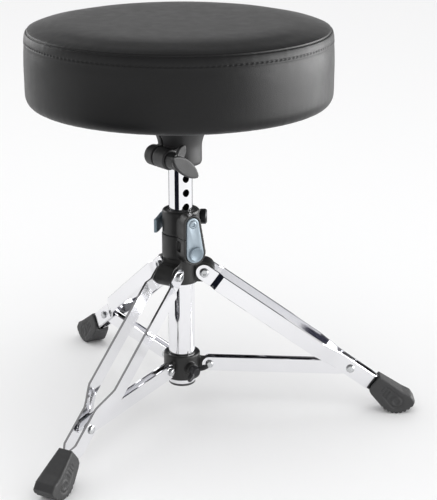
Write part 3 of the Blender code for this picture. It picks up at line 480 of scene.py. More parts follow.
def make_seat():
    pad, rest, moved = simulate_pad()
    done(pad, "seat", ["seat_foam"], FOAM, 60)

    tree = kdtree.KDTree(len(rest))
    for i, co in enumerate(rest):
        tree.insert(co, i)
    tree.balance()

    def give(point, normal):
        """Soft displacement along the normal at a point of the pad, in mm."""
        found = tree.find_n(point, 14)
        w = np.array([1.0 / (d + 0.004) ** 2 for _, _, d in found])
        mean = sum(wi * moved[i] for wi, (_, i, _) in zip(w, found)) / w.sum()
        return float(np.dot(mean, normal)) / MM

    # stations along the outline: close together at the seam and the stitched row, wider on the plain parts
    stations, s = [], 0.0
    while s < ARC[-1] - 2.0:
        stations.append(s)
        near = min(abs(s - SEAM_AT), abs(s - ROW_AT))
        fine = 0.55 if near < 2.6 else 0.9 if ROW_AT - 4 < s < SEAM_AT + 5 else 1.6 if near < 12 else 2.6 if s < SEAM_AT + 30 else 5.5
        if s < 14:
            fine = 1.8
        s += fine * 1.0
    coarse = 72
    angles = [2 * math.pi * k / coarse for k in range(coarse)]
    field = np.zeros((len(stations), coarse))
    for i, s in enumerate(stations):
        r, z, n = on_curve(s)
        for k, a in enumerate(angles):
            field[i, k] = give(Vector((r * math.cos(a), r * math.sin(a), z)) * MM, np.array([n[0] * math.cos(a), n[0] * math.sin(a), n[1]]))
    for _ in range(3):      # even out along both ways
        field = (np.roll(field, 1, 1) + 2 * field + np.roll(field, -1, 1)) / 4
        field[1:-1] = (field[:-2] + 2 * field[1:-1] + field[2:]) / 4
    rng = np.random.default_rng(11)
    waves = [(n, rng.uniform(0, 2 * math.pi), rng.uniform(0.4, 1.0)) for n in (3, 5, 8, 13)]
    puckers = [(n, rng.uniform(0, 2 * math.pi), rng.uniform(0.5, 1.0)) for n in (37, 53, 71, 97, 131)]
    pleats = [(n, rng.uniform(0, 2 * math.pi), rng.uniform(0.5, 1.0)) for n in (29, 41, 67)]

    theta = np.arange(AROUND) * 2 * math.pi / AROUND
    slow = sum(a * np.sin(n * theta + ph) for n, ph, a in waves) / 3.0
    fast = sum(a * np.sin(n * theta + ph) for n, ph, a in puckers) / 3.0
    folds = np.abs(sum(a * np.sin(n * theta + ph) for n, ph, a in pleats) / 2.0)
    beat = np.cos(STITCHES * theta)
    cos_t, sin_t = np.cos(theta), np.sin(theta)
    join = math.radians(97.0)       # the side strip's ends meet at the back
    away = np.abs((theta - join + math.pi) % (2 * math.pi) - math.pi) * SEAT_R

    bm = bmesh.new()
    rows = []
    for i, s in enumerate(stations):
        r, z, n = on_curve(s)
        d = np.interp(theta, angles + [2 * math.pi], np.append(field[i], field[i, 0]))
        d = np.clip(d, -1.5, 1.5)
        calm = 0.12 + 0.88 * smooth((r - 134.0) / 22.0)                          # the flat top is pulled tight
        d = d.mean() + (d - d.mean()) * calm * smooth(r / 90.0)
        from_seam, from_row = s - SEAM_AT, s - ROW_AT
        d = d - 1.05 * math.exp(-(from_seam / 0.95) ** 2)                        # the sewn seam, pulled in
        d = d + 0.30 * math.exp(-((from_seam - 2.2) / 1.7) ** 2)                 # top panel's edge puffs up beside it
        lap = smooth((s - ROW_AT + 3.4) / 1.6) * smooth((SEAM_AT - s) / 1.4)
        d = d + 0.50 * lap                                                       # doubled layer between seam and row
        d = d - math.exp(-(from_row / 1.05) ** 2) * (0.42 + 0.34 * beat)         # the row of stitches bites in
        d = d + 0.16 * fast * math.exp(-abs(from_seam) / 7.0) * (1 if abs(from_seam) > 0.6 else 0.4)
        d = d + 0.10 * fast * math.exp(-abs(s - 22.0) / 12.0)
        d = d + 0.22 * slow * smooth((s - 10) / 20) * calm * smooth(r / 90.0)
        on_side = smooth((s - 8.0) / 8.0) * smooth((ROW_AT - 1.0 - s) / 3.0)
        d = d - on_side * (0.75 * np.exp(-(away / 0.9) ** 2) - 0.22 * np.exp(-((away - 2.6) / 1.5) ** 2))
        hem = smooth((16.0 - s) / 12.0)
        d = d + hem * 0.9 * folds
        rr = r + n[0] * d
        zz = z + n[1] * d
        rows.append([bm.verts.new((rr[k] * cos_t[k], rr[k] * sin_t[k], zz[k])) for k in range(AROUND)])
    outer_middle = bm.verts.new((0, 0, CURVE[-1, 1] + float(np.mean(np.clip(field[-1], -1.5, 1.5)))))
    inner = [(138.0, 2.0), (150.0, 2.0), (158.8, 4.6), (162.4, 14.0), (163.0, 24.0), (163.0, 63.0), (160.4, 74.2), (155.4, 79.6), (147.0, 82.5),
             (112.0, 85.0), (56.0, 85.3)]
    inside = []
    for r, z in inner:
        inside.append([bm.verts.new((r * cos_t[k], r * sin_t[k], z)) for k in range(AROUND)])
    inner_middle = bm.verts.new((0, 0, 85.4))
    for grid in (rows, inside):
        for one, two in zip(grid, grid[1:]):
            for k in range(AROUND):
                m = (k + 1) % AROUND
                bm.faces.new((one[k], one[m], two[m], two[k]))
    for k in range(AROUND):
        m = (k + 1) % AROUND
        bm.faces.new((rows[0][k], rows[0][m], inside[0][m], inside[0][k]))
        bm.faces.new((rows[-1][k], rows[-1][m], outer_middle))
        bm.faces.new((inside[-1][k], inside[-1][m], inner_middle))
    cover = thing("seat_cover_sewn", close("seat_cover_sewn", bm, tidy=False))
    cover.data.transform(Matrix.Translation((0, 0, up(SEAT_LOW))))
    done(cover, "seat", ["seat_cover"], VINYL, 70)

    # thread: one short arched stitch per pitch, its ends diving into the cover
    row_r, row_z, row_n = on_curve(ROW_AT)
    k_row = int(np.argmin(np.abs(np.array(stations) - ROW_AT)))
    row_field = np.append(field[k_row], field[k_row, 0])
    bm = bmesh.new()

    def stitch(spot, along, out, length, wire):
        sides, parts = 7, 7
        side = along.cross(out)
        rings = []
        for j in range(parts):
            u = j / (parts - 1) - 0.5
            centre = spot + along * (u * length) + out * (0.24 - 2.9 * u * u)
            fat = wire * (1.0 - 1.2 * u * u)
            rings.append([bm.verts.new(centre + fat * (math.cos(t) * out + math.sin(t) * side)) for t in (2 * math.pi * q / sides for q in range(sides))])
        for one, two in zip(rings, rings[1:]):
            for q in range(sides):
                bm.faces.new((one[q], one[(q + 1) % sides], two[(q + 1) % sides], two[q]))
        bm.faces.new(rings[0][::-1])
        bm.faces.new(rings[-1])

    for k in range(STITCHES):
        a = 2 * math.pi * (k + 0.5) / STITCHES
        d = float(np.interp(a, angles + [2 * math.pi], row_field)) - 0.36 + 0.25
        out = Vector((row_n[0] * math.cos(a), row_n[0] * math.sin(a), row_n[1]))
        spot = Vector((row_r * math.cos(a), row_r * math.sin(a), row_z)) + out * d
        stitch(spot, Vector((-math.sin(a), math.cos(a), 0)), out, 3.9, 0.42)
    ja, tang = direction(join), Vector((-math.sin(join), math.cos(join), 0))
    for k in range(9):
        stitch(ja * (SEAT_R + 1.0) + tang * 2.6 + Vector((0, 0, 16.0 + 5.7 * k)), Vector((0, 0, 1)), ja, 3.9, 0.42)
    thread = thing("seat_stitching", close("seat_stitching", bm, tidy=False))
    thread.data.transform(Matrix.Translation((0, 0, up(SEAT_LOW))))
    thread.data.materials.append(THREAD)
    thread.data.shade_smooth()
    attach(thread, "seat")

    # staples that hold the hem to the board
    bm = bmesh.new()
    for k in range(44):
        a = 2 * math.pi * (k + 0.3 * math.sin(k * 2.1)) / 44
        out, along = direction(a), Vector((-math.sin(a + 0.35), math.cos(a + 0.35), 0))
        spot = out * 143.5 + Vector((0, 0, -0.9))
        lo, hi = (spot - along * 5.0, spot + along * 5.0)
        rings = []
        for end, drop in ((lo, 2.6), (lo, 0.0), (hi, 0.0), (hi, 2.6)):
            c = end + Vector((0, 0, drop))
            side = along.cross(Vector((0, 0, 1)))
            rings.append([bm.verts.new(c + side * x + Vector((0, 0, y)) + along * x2) for x, y, x2 in ((-0.5, -0.28, 0), (0.5, -0.28, 0), (0.5, 0.28, 0), (-0.5, 0.28, 0))])
        for one, two in zip(rings, rings[1:]):
            for q in range(4):
                bm.faces.new((one[q], one[(q + 1) % 4], two[(q + 1) % 4], two[q]))
        bm.faces.new(rings[0][::-1])
        bm.faces.new(rings[-1])
    staples = thing("seat_staples", close("seat_staples", bm, tidy=False))
    staples.data.transform(Matrix.Translation((0, 0, up(SEAT_LOW))))
    staples.data.materials.append(ZINC)
    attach(staples, "seat")

    lo, hi = BOARD_LOW - SEAT_LOW, BOARD_TOP - SEAT_LOW
    board = thing("seat_board_ply", turned("seat_board_ply", [(0.0, lo), (150.2, lo), (151.4, lo + 0.6), (154.6, lo + 4.0), (156.4, hi - 0.8), (155.8, hi), (0.0, hi)]))
    for k in range(4):
        p = SOCKET_BOLT_R * direction(math.radians(45 + 90 * k))
        combine(board, rod("hole", [(lo - 3, 3.6), (hi + 3, 3.6)], 24, at=(p.x, p.y, 0)))
    board.data.transform(Matrix.Translation((0, 0, up(SEAT_LOW))))
    board.data.materials.clear()
    board.data.materials.append(WOOD)
    board.data.materials.append(STAIN)
    for face in board.data.polygons:
        if face.normal.z < -0.4:
            face.material_index = 1
    done(board, "seat", ["seat_board"], None)


def screw_head(ob, at, axis, size, depth, kind="cross"):
    """Cut a driver recess into a screw head; at is the middle of the head's face, in mm."""
    turn = Vector((1, 0, 0)).rotation_difference(Vector(axis)).to_matrix().to_4x4()
    spot = Matrix.Translation(Vector(at) * MM) @ turn
    if kind == "hex":
        tool = prism("hex", [(size * math.cos(math.radians(60 * q)), size * math.sin(math.radians(60 * q))) for q in range(6)], -depth, 2.0, "YZ")
        tool.transform(spot)
        combine(ob, tool)
    else:
        w = size * 0.24
        star = [(w, w), (size, w), (size, -w), (w, -w), (w, -size), (-w, -size), (-w, -w), (-size, -w), (-size, w), (-w, w), (-w, size), (w, size)]
        tool = prism("star", star, -depth, 2.0, "YZ")
        tool.transform(spot)
        combine(ob, tool)


def leaf(tail, reach, half):
    """Almond outline of a knob's blade along X, from a pointed tail behind the hub to a blunt tip."""
    t0 = (0.0, 0.08, 0.20, 0.36, 0.52, 0.70, 0.85, 0.95, 1.0)
    w0 = (0.06, 0.38, 0.72, 0.95, 1.0, 0.90, 0.66, 0.38, 0.14)
    side = []
    for i in range(8):
        p, q, r, v = w0[max(0, i - 1)], w0[i], w0[i + 1], w0[min(8, i + 2)]
        for u in (0.0, 0.33, 0.67):
            w = 0.5 * (2 * q + (r - p) * u + (2 * p - 5 * q + 4 * r - v) * u * u + (3 * q - p - 3 * r + v) * u ** 3)
            side.append((tail + (reach - tail) * (t0[i] + (t0[i + 1] - t0[i]) * u), -half * min(1.0, max(0.05, w))))
    side.append((reach, -half * 0.14))
    return side + [(x, -y) for x, y in reversed(side)]


def make_socket():
    h = SOCKET_TOP - SOCKET_LOW
    bore = POST_R + 0.35
    skirt = [(bore, 0.0), (20.6, 0.0), (22.6, 0.8), (23.6, 3.2), (23.6, 18.0)]
    for a in np.linspace(0.08, 1.0, 16):
        skirt.append((23.6 + 27.5 * a ** 2.1, 18.0 + 41.0 * a))
    skirt += [(54.0, 60.2), (55.0, 61.4), (55.0, h), (bore, h)]
    ob = thing("seat_socket_cast", turned("seat_socket_cast", skirt))
    b, c = direction(CLAMP_AZ), direction(CLAMP_AZ - math.pi / 2)
    z = CLAMP_Z - SOCKET_LOW
    start = c * CLAMP_OFF
    combine(ob, rod("barrel", [(CLAMP_FAR, CLAMP_R - 2.4), (CLAMP_FAR + 0.6, CLAMP_R - 1.1), (CLAMP_FAR + 2.6, CLAMP_R), (CLAMP_NEAR - 0.8, CLAMP_R), (CLAMP_NEAR, CLAMP_R - 0.9)],
                    60, axis=b, at=(start.x, start.y, z)), "UNION")
    web = prism("web", [(14.5, z - 8.8), (CLAMP_OFF, z - CLAMP_R + 0.2), (CLAMP_OFF, z + CLAMP_R - 0.2), (14.5, z + 9.0)], -13.0, 17.0, "XZ")
    web.transform(Matrix.Rotation(math.atan2(c.y, c.x), 4, "Z"))
    combine(ob, web, "UNION")
    slit = prism("slit", [(3.0, -3.0), (60.0, -3.0), (60.0, 52.0), (3.0, 52.0)], -1.2, 1.2, "XZ")
    slit.transform(Matrix.Rotation(math.atan2(c.y, c.x), 4, "Z"))
    combine(ob, slit)
    combine(ob, rod("bore", [(-3.0, bore + 0.002), (h + 3.0, bore + 0.002)], COIL))
    combine(ob, rod("bolt_way", [(-30.0, 7.7), (CLAMP_FAR + 5.4, 7.7), (CLAMP_FAR + 5.4, 4.6), (60.0, 4.6)], 36, axis=b, at=(start.x, start.y, z)))
    for k in range(4):
        at = SOCKET_BOLT_R * direction(math.radians(45 + 90 * k))
        combine(ob, rod("hole", [(h - 12.0, 3.6), (h + 3, 3.6)], 24, at=(at.x, at.y, 0)))
        combine(ob, rod("seatface", [(h - 30.0, 7.4), (h - 5.6, 7.4)], 32, at=(at.x, at.y, 0)))
    cast(ob, 0.7, 4)
    ob.data.transform(Matrix.Translation((0, 0, up(SOCKET_LOW))))
    done(ob, "seat", ["seat_socket"], CASTING, 80)
    for k in range(4):
        at = SOCKET_BOLT_R * direction(math.radians(45 + 90 * k))
        bolt = thing(f"seat_bolt_{k + 1}_pan", rod("seat_bolt", [(-10.6, 3.4), (-10.2, 4.6), (-9.2, 5.3), (-6.3, 5.4), (-6.3, 3.0), (11.4, 3.0), (12.0, 2.4)], 32))
        tool = prism("star", [(1, 1), (3.2, 1), (3.2, -1), (1, -1), (1, -3.2), (-1, -3.2), (-1, -1), (-3.2, -1), (-3.2, 1), (-1, 1), (-1, 3.2), (1, 3.2)], -13.0, -8.6, "XY")
        combine(bolt, tool)
        bolt.data.transform(Matrix.Translation((at.x * MM, at.y * MM, up(SEAT_LOW))))
        done(bolt, "seat", [f"seat_bolt_{k + 1}"], ZINC)

    mid = c * CLAMP_OFF
    base = Matrix.Translation((mid.x * MM, mid.y * MM, up(CLAMP_Z))) @ Matrix.Rotation(CLAMP_AZ + math.radians(90.0), 4, "Z") @ Matrix.Rotation(math.radians(90.0), 4, "X")
    f = CLAMP_FAR
    bolt = thing("clamp_bolt_fine", rod("clamp_bolt", [(f - 0.4, 5.4), (f + 0.1, 6.5), (f + 0.9, 7.0), (f + 5.1, 7.0), (f + 5.1, 4.1), (29.4, 4.1), (29.8, 3.7)], 40))
    tool = prism("hex", [(3.6 * math.cos(math.radians(60 * q)), 3.6 * math.sin(math.radians(60 * q))) for q in range(6)], f - 4.0, f + 2.8, "XY")
    combine(bolt, tool)
    bolt.data.transform(base)
    done(bolt, "seat", ["clamp_bolt"], STEEL)

    shapes = [rod("hub", [(20.6, 8.2), (21.4, 9.2), (32.0, 9.2)], 40)]
    for tail, reach, half, az, low, high in ((-9.4, 12.0, 7.6, -38.0, 21.4, 31.0), (-10.6, 33.0, 8.4, -38.0, 30.3, 33.6), (-9.6, 32.0, 7.5, -38.0, 33.0, 34.2),
                                             (0.0, 19.5, 5.6, 62.0, 28.4, 32.0), (0.0, 18.8, 5.0, 62.0, 31.5, 32.6)):
        wing = prism("wing", leaf(tail, reach, half), low, high, "XY")
        wing.transform(Matrix.Rotation(math.radians(az), 4, "Z"))
        shapes.append(wing)
    knob = joined("wing_knob_cast", shapes)
    cast(knob, 0.4, 2)
    combine(knob, rod("thread", [(10.0, 4.6), (30.4, 4.6)], 24))
    knob.data.transform(base)
    done(knob, "seat_wing_knob", ["wing_knob"], CASTING, 80)


# ------------------------------------------------------------------ column
def paint_bore_shade(ob, inner_r, mat, bore_shade):
    """Second material on the faces that look into the tube: a near-black painted shade, standing in for the dark inside
    of the bore and its holes.
    """
    ob.data.materials.clear()
    ob.data.materials.append(mat)
    ob.data.materials.append(bore_shade)
    for f in ob.data.polygons:
        c = f.center
        if math.hypot(c.x, c.y) / MM < inner_r and (f.normal.x * c.x + f.normal.y * c.y) < 0:
            f.material_index = 1


def make_column():
    long = POST_TOP - POST_LOW
    e = 0.35
    post = thing("height_post_fine", turned("height_post_fine", [(POST_BORE + e, 0), (POST_R - e, 0), (POST_R, e), (POST_R, long - e), (POST_R - e, long), (POST_BORE + e, long), (POST_BORE, long - e), (POST_BORE, e)]))
    b = direction(INDEX_AZ)
    for k in range(-6, 6):
        combine(post, rod("hole", [(6.0, HOLE_R), (POST_R - 0.42, HOLE_R), (POST_R + 0.4, HOLE_R + 0.75), (20.0, HOLE_R + 0.75)], 28, axis=b, at=(0, 0, PIN_Z + HOLE_PITCH * k - POST_LOW)))
    post.data.transform(Matrix.Translation((0, 0, up(POST_LOW))))
    # the post's inner faces get the painted bore shade
    paint_bore_shade(post, POST_R - 0.8, TUBE_CHROME, PAINTED_BORE_SHADE)
    done(post, "post", ["height_post"], None, 30)
    plug = thing("post_plug_fine", rod("post_plug", [(-3.0, 11.4), (-2.6, 12.3), (-2.0, 12.8), (-GAP, 12.8), (-GAP, 11.1), (10.0, 11.1), (11.0, 10.2)], 64))
    plug.data.transform(Matrix.Translation((0, 0, up(POST_LOW))))
    done(plug, "post", ["post_plug"], PLASTIC)

    length = TUBE_TOP - TUBE_LOW
    tube = thing("base_tube_fine", turned("base_tube_fine", [(TUBE_BORE + e, 0), (TUBE_R - e, 0), (TUBE_R, e), (TUBE_R, length - e), (TUBE_R - e, length), (TUBE_BORE + e, length), (TUBE_BORE, length - e), (TUBE_BORE, e)]))
    combine(tube, rod("hole", [(6.0, 4.5), (20.0, 4.5)], 32, axis=b, at=(0, 0, PIN_Z - TUBE_LOW)))
    tube.data.transform(Matrix.Translation((0, 0, up(TUBE_LOW))))
    # the tube's inner faces get the painted bore shade
    paint_bore_shade(tube, TUBE_R - 0.8, TUBE_CHROME, PAINTED_BORE_SHADE)
    done(tube, "base", ["base_tube"], None, 30)
    cap = thing("base_end_cap_fine", rod("base_end_cap", [(0.0, 13.2), (0.3, 14.2), (1.2, 15.0), (2.5, 15.0), (2.5, 13.15), (10.0, 13.15), (11.0, 12.4)], 64))
    done(cap, "base", ["base_end_cap"], PLASTIC)
    bush = thing("guide_bush_fine", turned("guide_bush_fine", [(POST_R + GAP, 0.0), (16.6, 0.0), (16.6, 4.4), (15.9, 5.4), (15.2, 5.6), (13.9, 5.6), (POST_R + GAP, 5.1)]))
    bush.data.transform(Matrix.Translation((0, 0, up(TUBE_TOP + GAP))))
    done(bush, "base", ["guide_bush"], PLASTIC)


def drop_shape(big, small, low_z, high_z, grow=0.0, steps=20):
    """Teardrop outline round the index pin and the plate screw, as (across, height)."""
    big, small = big + grow, small + grow
    run = math.hypot(PLATE_LEAN, high_z - low_z)
    rise, lean = math.atan2(high_z - low_z, PLATE_LEAN), math.asin((big - small) / run)
    return (arc(0, low_z, big, rise + math.pi / 2 - lean, rise + 1.5 * math.pi + lean, steps)
            + arc(PLATE_LEAN, high_z, small, rise - math.pi / 2 + lean, rise + math.pi / 2 - lean, steps // 2 + 2))


def index_boss(z0, keep_low, keep_high):
    """The pad under the cover plate: a teardrop with a low rim round the plate, cut to one casting's heights."""
    ob = thing("boss", prism("boss", drop_shape(PLATE_BIG, PLATE_SMALL, PIN_Z - z0, PLATE_SCREW_Z - z0, 3.4), 8.0, BOSS_FACE + 1.5, "YZ"))
    combine(ob, prism("recess", drop_shape(PLATE_BIG, PLATE_SMALL, PIN_Z - z0, PLATE_SCREW_Z - z0, 0.55), BOSS_FACE, BOSS_FACE + 6.0, "YZ"))
    box = prism("keep", [(0.0, keep_low - z0), (60.0, keep_low - z0), (60.0, keep_high - z0), (0.0, keep_high - z0)], -30.0, 30.0, "XZ")
    combine(ob, box, "INTERSECT")
    mesh = ob.data.copy()
    bpy.data.objects.remove(ob, do_unlink=True)
    mesh.transform(Matrix.Rotation(INDEX_AZ, 4, "Z"))
    return mesh


def make_sleeve():
    h = SLEEVE_TOP - SLEEVE_LOW
    b = direction(INDEX_AZ)
    ob = thing("height_sleeve_cast", turned("height_sleeve_cast", [(CASTING_BORE, 0), (SLEEVE_R, 0), (SLEEVE_R, h - 2.6), (SLEEVE_R - 0.7, h - 0.8), (SLEEVE_R - 2.0, h), (CASTING_BORE, h)]))
    combine(ob, index_boss(SLEEVE_LOW, SLEEVE_LOW, SLEEVE_TOP - 0.4), "UNION")
    combine(ob, rod("lug", [(LUG_LEFT, 8.2), (LUG_LEFT + 0.8, 9.0), (LUG_RIGHT - 0.8, 9.0), (LUG_RIGHT, 8.2)], 48, axis=(1, 0, 0), at=(0, LEVER_Y, LEVER_Z - SLEEVE_LOW)), "UNION")
    lz = LEVER_Z - SLEEVE_LOW
    combine(ob, prism("block", [(-12.0, lz - 8.6), (12.5, lz - 8.6), (12.5, lz + 8.6), (-12.0, lz + 8.6)], 14.0, LEVER_Y, "XZ"), "UNION")
    top = TUBE_TOP - SLEEVE_LOW + 0.1
    combine(ob, rod("bore", [(-3, CASTING_BORE), (top, CASTING_BORE), (top, 16.9), (h + 3, 16.9)], COIL))
    combine(ob, rod("bolt_way", [(-30, 4.5), (30, 4.5)], 24, axis=(1, 0, 0), at=(0, LEVER_Y, lz)))
    combine(ob, prism("slit", [(-1.1, -3.0), (1.1, -3.0), (1.1, h + 3.0), (-1.1, h + 3.0)], 8.0, 45.0, "XZ"))
    side = direction(INDEX_AZ + math.pi / 2) * PLATE_LEAN
    combine(ob, rod("screw_way", [(BOSS_FACE - 9.0, 2.6), (BOSS_FACE + 5.0, 2.6)], 20, axis=b, at=(side.x, side.y, PLATE_SCREW_Z - SLEEVE_LOW)))
    cast(ob, 0.5, 3)
    ob.data.transform(Matrix.Translation((0, 0, up(SLEEVE_LOW))))
    done(ob, "base", ["height_sleeve"], HUB_CASTING, 80)

    at = Matrix.Translation((0, LEVER_Y * MM, up(LEVER_Z)))
    bolt = thing("hub_clamp_bolt_fine", rod("hub_clamp_bolt", [(-23.0, 3.4), (-22.6, 4.0), (LUG_RIGHT + GAP, 4.0), (LUG_RIGHT + GAP, 7.8), (LUG_RIGHT + 0.8, 8.4), (LUG_RIGHT + 1.5, 8.6), (LUG_RIGHT + 6.6, 8.6), (LUG_RIGHT + 7.8, 7.6), (LUG_RIGHT + 8.3, 6.4)], 48, axis=(1, 0, 0)))
    screw_head(bolt, (LUG_RIGHT + 8.3, 0, 0), (1, 0, 0), 3.8, 3.0, "hex")
    bolt.data.transform(at)
    done(bolt, "base", ["hub_clamp_bolt"], STEEL)
    lever = thing("hub_clamp_lever_fine", rod("cam", [(-21.8, 7.0), (-21.4, 7.8), (-20.4, 8.0), (LUG_LEFT - 0.8, 8.0), (LUG_LEFT - 0.4, 7.6)], 48, axis=(1, 0, 0)))
    arm = prism("arm", [(-18.6, 4.0), (-21.2, -8.0), (-24.2, -24.0), (-26.6, -30.0), (-29.6, -30.0), (-27.4, -22.0), (-24.0, -4.0), (-21.6, 4.0)], -10.0, 5.5, "XY")
    combine(lever, arm, "UNION")
    combine(lever, rod("way", [(-40, 4.5), (0, 4.5)], 24, axis=(1, 0, 0)))
    cast(lever, 0.42, 2)
    lever.data.transform(at)
    done(lever, "clamp_lever", ["hub_clamp_lever"], BLUE_DARK, 80)


def make_hub():
    z0 = HUB_LOW
    pz = LEG_PIVOT_Z - z0
    h = HUB_TOP - z0
    body = [(CASTING_BORE, 0), (HUB_WAIST_R - 1.4, 0), (HUB_WAIST_R - 0.4, 0.4), (HUB_WAIST_R, 1.6), (HUB_WAIST_R, 26.0)]
    body += [(HUB_WAIST_R + (HUB_R - HUB_WAIST_R) * smooth(t), 26.0 + 6.0 * t) for t in np.linspace(0.15, 1.0, 6)]
    body += [(HUB_R, h - 0.5), (HUB_R - 0.5, h), (CASTING_BORE, h)]
    ob = thing("leg_hub_cast", turned("leg_hub_cast", body))
    for k in range(3):
        outline = [(8.0, pz - 11.6), (LEG_PIVOT_R, pz - 11.6)] + arc(LEG_PIVOT_R, pz, 11.6, -math.pi / 2, math.pi / 2, 24)[1:] + [(21.4, pz + 13.2), (19.4, pz + 16.0), (17.6, pz + 19.0), (8.0, pz + 20.0)]
        lug = prism("lug", outline, -LUG_HALF, LUG_HALF, "XZ")
        lug.transform(Matrix.Rotation(2 * math.pi * k / 3, 4, "Z"))
        combine(ob, lug, "UNION")
    combine(ob, index_boss(z0, PIN_Z - 20.0, HUB_TOP), "UNION")
    # small guide key left of the index pad, standing in its own shallow slot
    key_az = math.radians(-93.0)
    for grow, r0, r1, how in ((1.5, HUB_R - 1.0, HUB_R + 6.0, "DIFFERENCE"), (0.0, 15.5, HUB_R + 0.1, "UNION")):
        w, low, high = 1.25 + grow, 200.6 - z0, 207.2 - z0
        shape = arc(0, low, w, math.pi, 2 * math.pi, 10) + arc(0, high, w, 0, math.pi, 10)
        key = prism("key", shape, r0, r1, "YZ")
        key.transform(Matrix.Rotation(key_az, 4, "Z"))
        combine(ob, key, how)
    combine(ob, rod("bore", [(-3, CASTING_BORE), (h + 3, CASTING_BORE)], COIL))
    b = direction(INDEX_AZ)
    combine(ob, rod("pocket", [(5.0, 4.6), (21.5, 4.6), (21.5, 7.3), (BOSS_FACE + 6.0, 7.3)], 40, axis=b, at=(0, 0, PIN_Z - z0)))
    for k in range(3):
        az = 2 * math.pi * k / 3
        u, n = direction(az), direction(az + math.pi / 2)
        start = u * LEG_PIVOT_R - n * 20.0
        combine(ob, rod("way", [(0, 3.5), (40, 3.5)], 24, axis=n, at=(start.x, start.y, pz)))
    cast(ob, 0.55, 3)
    ob.data.transform(Matrix.Translation((0, 0, up(z0))))
    done(ob, "base", ["leg_hub"], HUB_CASTING, 80)


def make_index():
    side = Matrix.Translation((0, 0, up(PIN_Z))) @ Matrix.Rotation(INDEX_AZ, 4, "Z")
    dz = PLATE_SCREW_Z - PIN_Z
    f = BOSS_FACE
    plate = thing("index_plate_fine", prism("index_plate", drop_shape(PLATE_BIG, PLATE_SMALL, 0, dz, 0.0, 36), f + GAP, f + 2.8, "YZ"))
    combine(plate, rod("eye", [(20, 4.5), (50, 4.5)], 32, axis=(1, 0, 0)))
    combine(plate, rod("eye", [(20, 2.4), (50, 2.4)], 24, axis=(1, 0, 0), at=(0, PLATE_LEAN, dz)))
    combine(plate, rod("sink", [(f + 2.1, 4.7), (50, 4.7)], 40, axis=(1, 0, 0), at=(0, PLATE_LEAN, dz)))
    soften(plate, 0.35, 2, 50)
    plate.data.transform(side)
    done(plate, "base", ["index_plate"], BLUE)
    screw = thing("plate_screw_fine", rod("plate_screw", [(f - 7.5, 2.0), (f + 2.3, 2.0), (f + 2.3, 4.2), (f + 2.9, 4.3), (f + 3.6, 3.7), (f + 4.0, 2.4)], 40, axis=(1, 0, 0), at=(0, PLATE_LEAN, dz)))
    screw_head(screw, (f + 4.0, PLATE_LEAN, dz), (1, 0, 0), 2.3, 1.3, "hex")
    screw.data.transform(side)
    done(screw, "base", ["plate_screw"], BLUE)
    pin = thing("index_button_fine", rod("index_button", [(13.4, 3.0), (13.8, 3.8), (14.4, 4.0), (21.9, 4.0), (21.9, 6.8), (23.4, 6.8), (23.4, 4.0), (f + 3.1, 4.0), (f + 3.1, 7.7), (f + 3.5, 8.1),
                                                           (f + 5.9, 8.1), (f + 6.5, 7.7), (f + 6.6, 7.1), (f + 6.3, 6.4), (f + 5.7, 5.2), (f + 5.2, 3.6), (f + 5.0, 1.8)], 64, axis=(1, 0, 0)))
    pin.data.transform(side)
    done(pin, "index_pin", ["index_button"], BLUE_MID)
    bm = bmesh.new()
    turns, per, sides, wire, coil = 2.5, 30, 10, 0.4, 5.5
    x0, x1 = 23.9, 25.7
    rings, steps = [], int(2.5 * 30)
    for i in range(steps + 1):
        a = 2 * math.pi * i / per
        out = Vector((0, math.cos(a), math.sin(a)))
        centre = Vector((x0 + (x1 - x0) * i / steps, coil * math.cos(a), coil * math.sin(a)))
        rings.append([bm.verts.new(centre + wire * (math.cos(t) * out + math.sin(t) * Vector((1, 0, 0)))) for t in (2 * math.pi * q / sides for q in range(sides))])
    for one, two in zip(rings, rings[1:]):
        for q in range(sides):
            bm.faces.new((one[q], one[(q + 1) % sides], two[(q + 1) % sides], two[q]))
    bm.faces.new(rings[0][::-1])
    bm.faces.new(rings[-1])
    spring = thing("index_spring_fine", close("index_spring_fine", bm, tidy=False))
    spring.data.transform(side)
    done(spring, "index_pin" if "index_spring" in frame["record"]["behaviour"]["bodies"]["index_pin"] else "base", ["index_spring"], ZINC, 60)


# ------------------------------------------------------------------ tripod
def bar(name, stations, thick, side):
    """A flat bar with rounded long edges, from (distance, half height, inner offset) stations."""
    e = 0.42
    bm = bmesh.new()
    rows = []
    for u, h, w in stations:
        h2 = max(h - e, 0.05)
        ring = [(w + e, -h), (w, -h2), (w, h2), (w + e, h), (w + thick - e, h), (w + thick, h2), (w + thick, -h2), (w + thick - e, -h)]
        rows.append([bm.verts.new((u, side * y, z)) for y, z in ring])
    n = 8
    for one, two in zip(rows, rows[1:]):
        for q in range(n):
            bm.faces.new((one[q], one[(q + 1) % n], two[(q + 1) % n], two[q]))
    bm.faces.new(rows[0][::-1])
    bm.faces.new(rows[-1])
    return close(name, bm, tidy=False)


def rounded(start, r, steps, flip=False):
    out = []
    for k in range(steps + 1):
        a = math.radians(12.0) + (math.pi / 2 - math.radians(12.0)) * k / steps
        out.append((start - r * math.cos(a), r * math.sin(a)))
    if flip:
        out = [(2 * start - u, h) for u, h in reversed(out)]
    return out


def joggle(u0, u1, w0, w1, half, steps=10):
    """Press bend between two offsets, eased at both ends but kept inside the straight-line bend."""
    out = []
    for t in np.linspace(0, 1, steps + 1):
        soft = 0.75 * t + 0.25 * smooth(t)
        out.append((u0 + (u1 - u0) * t, half, w0 + (w1 - w0) * soft))
    return out


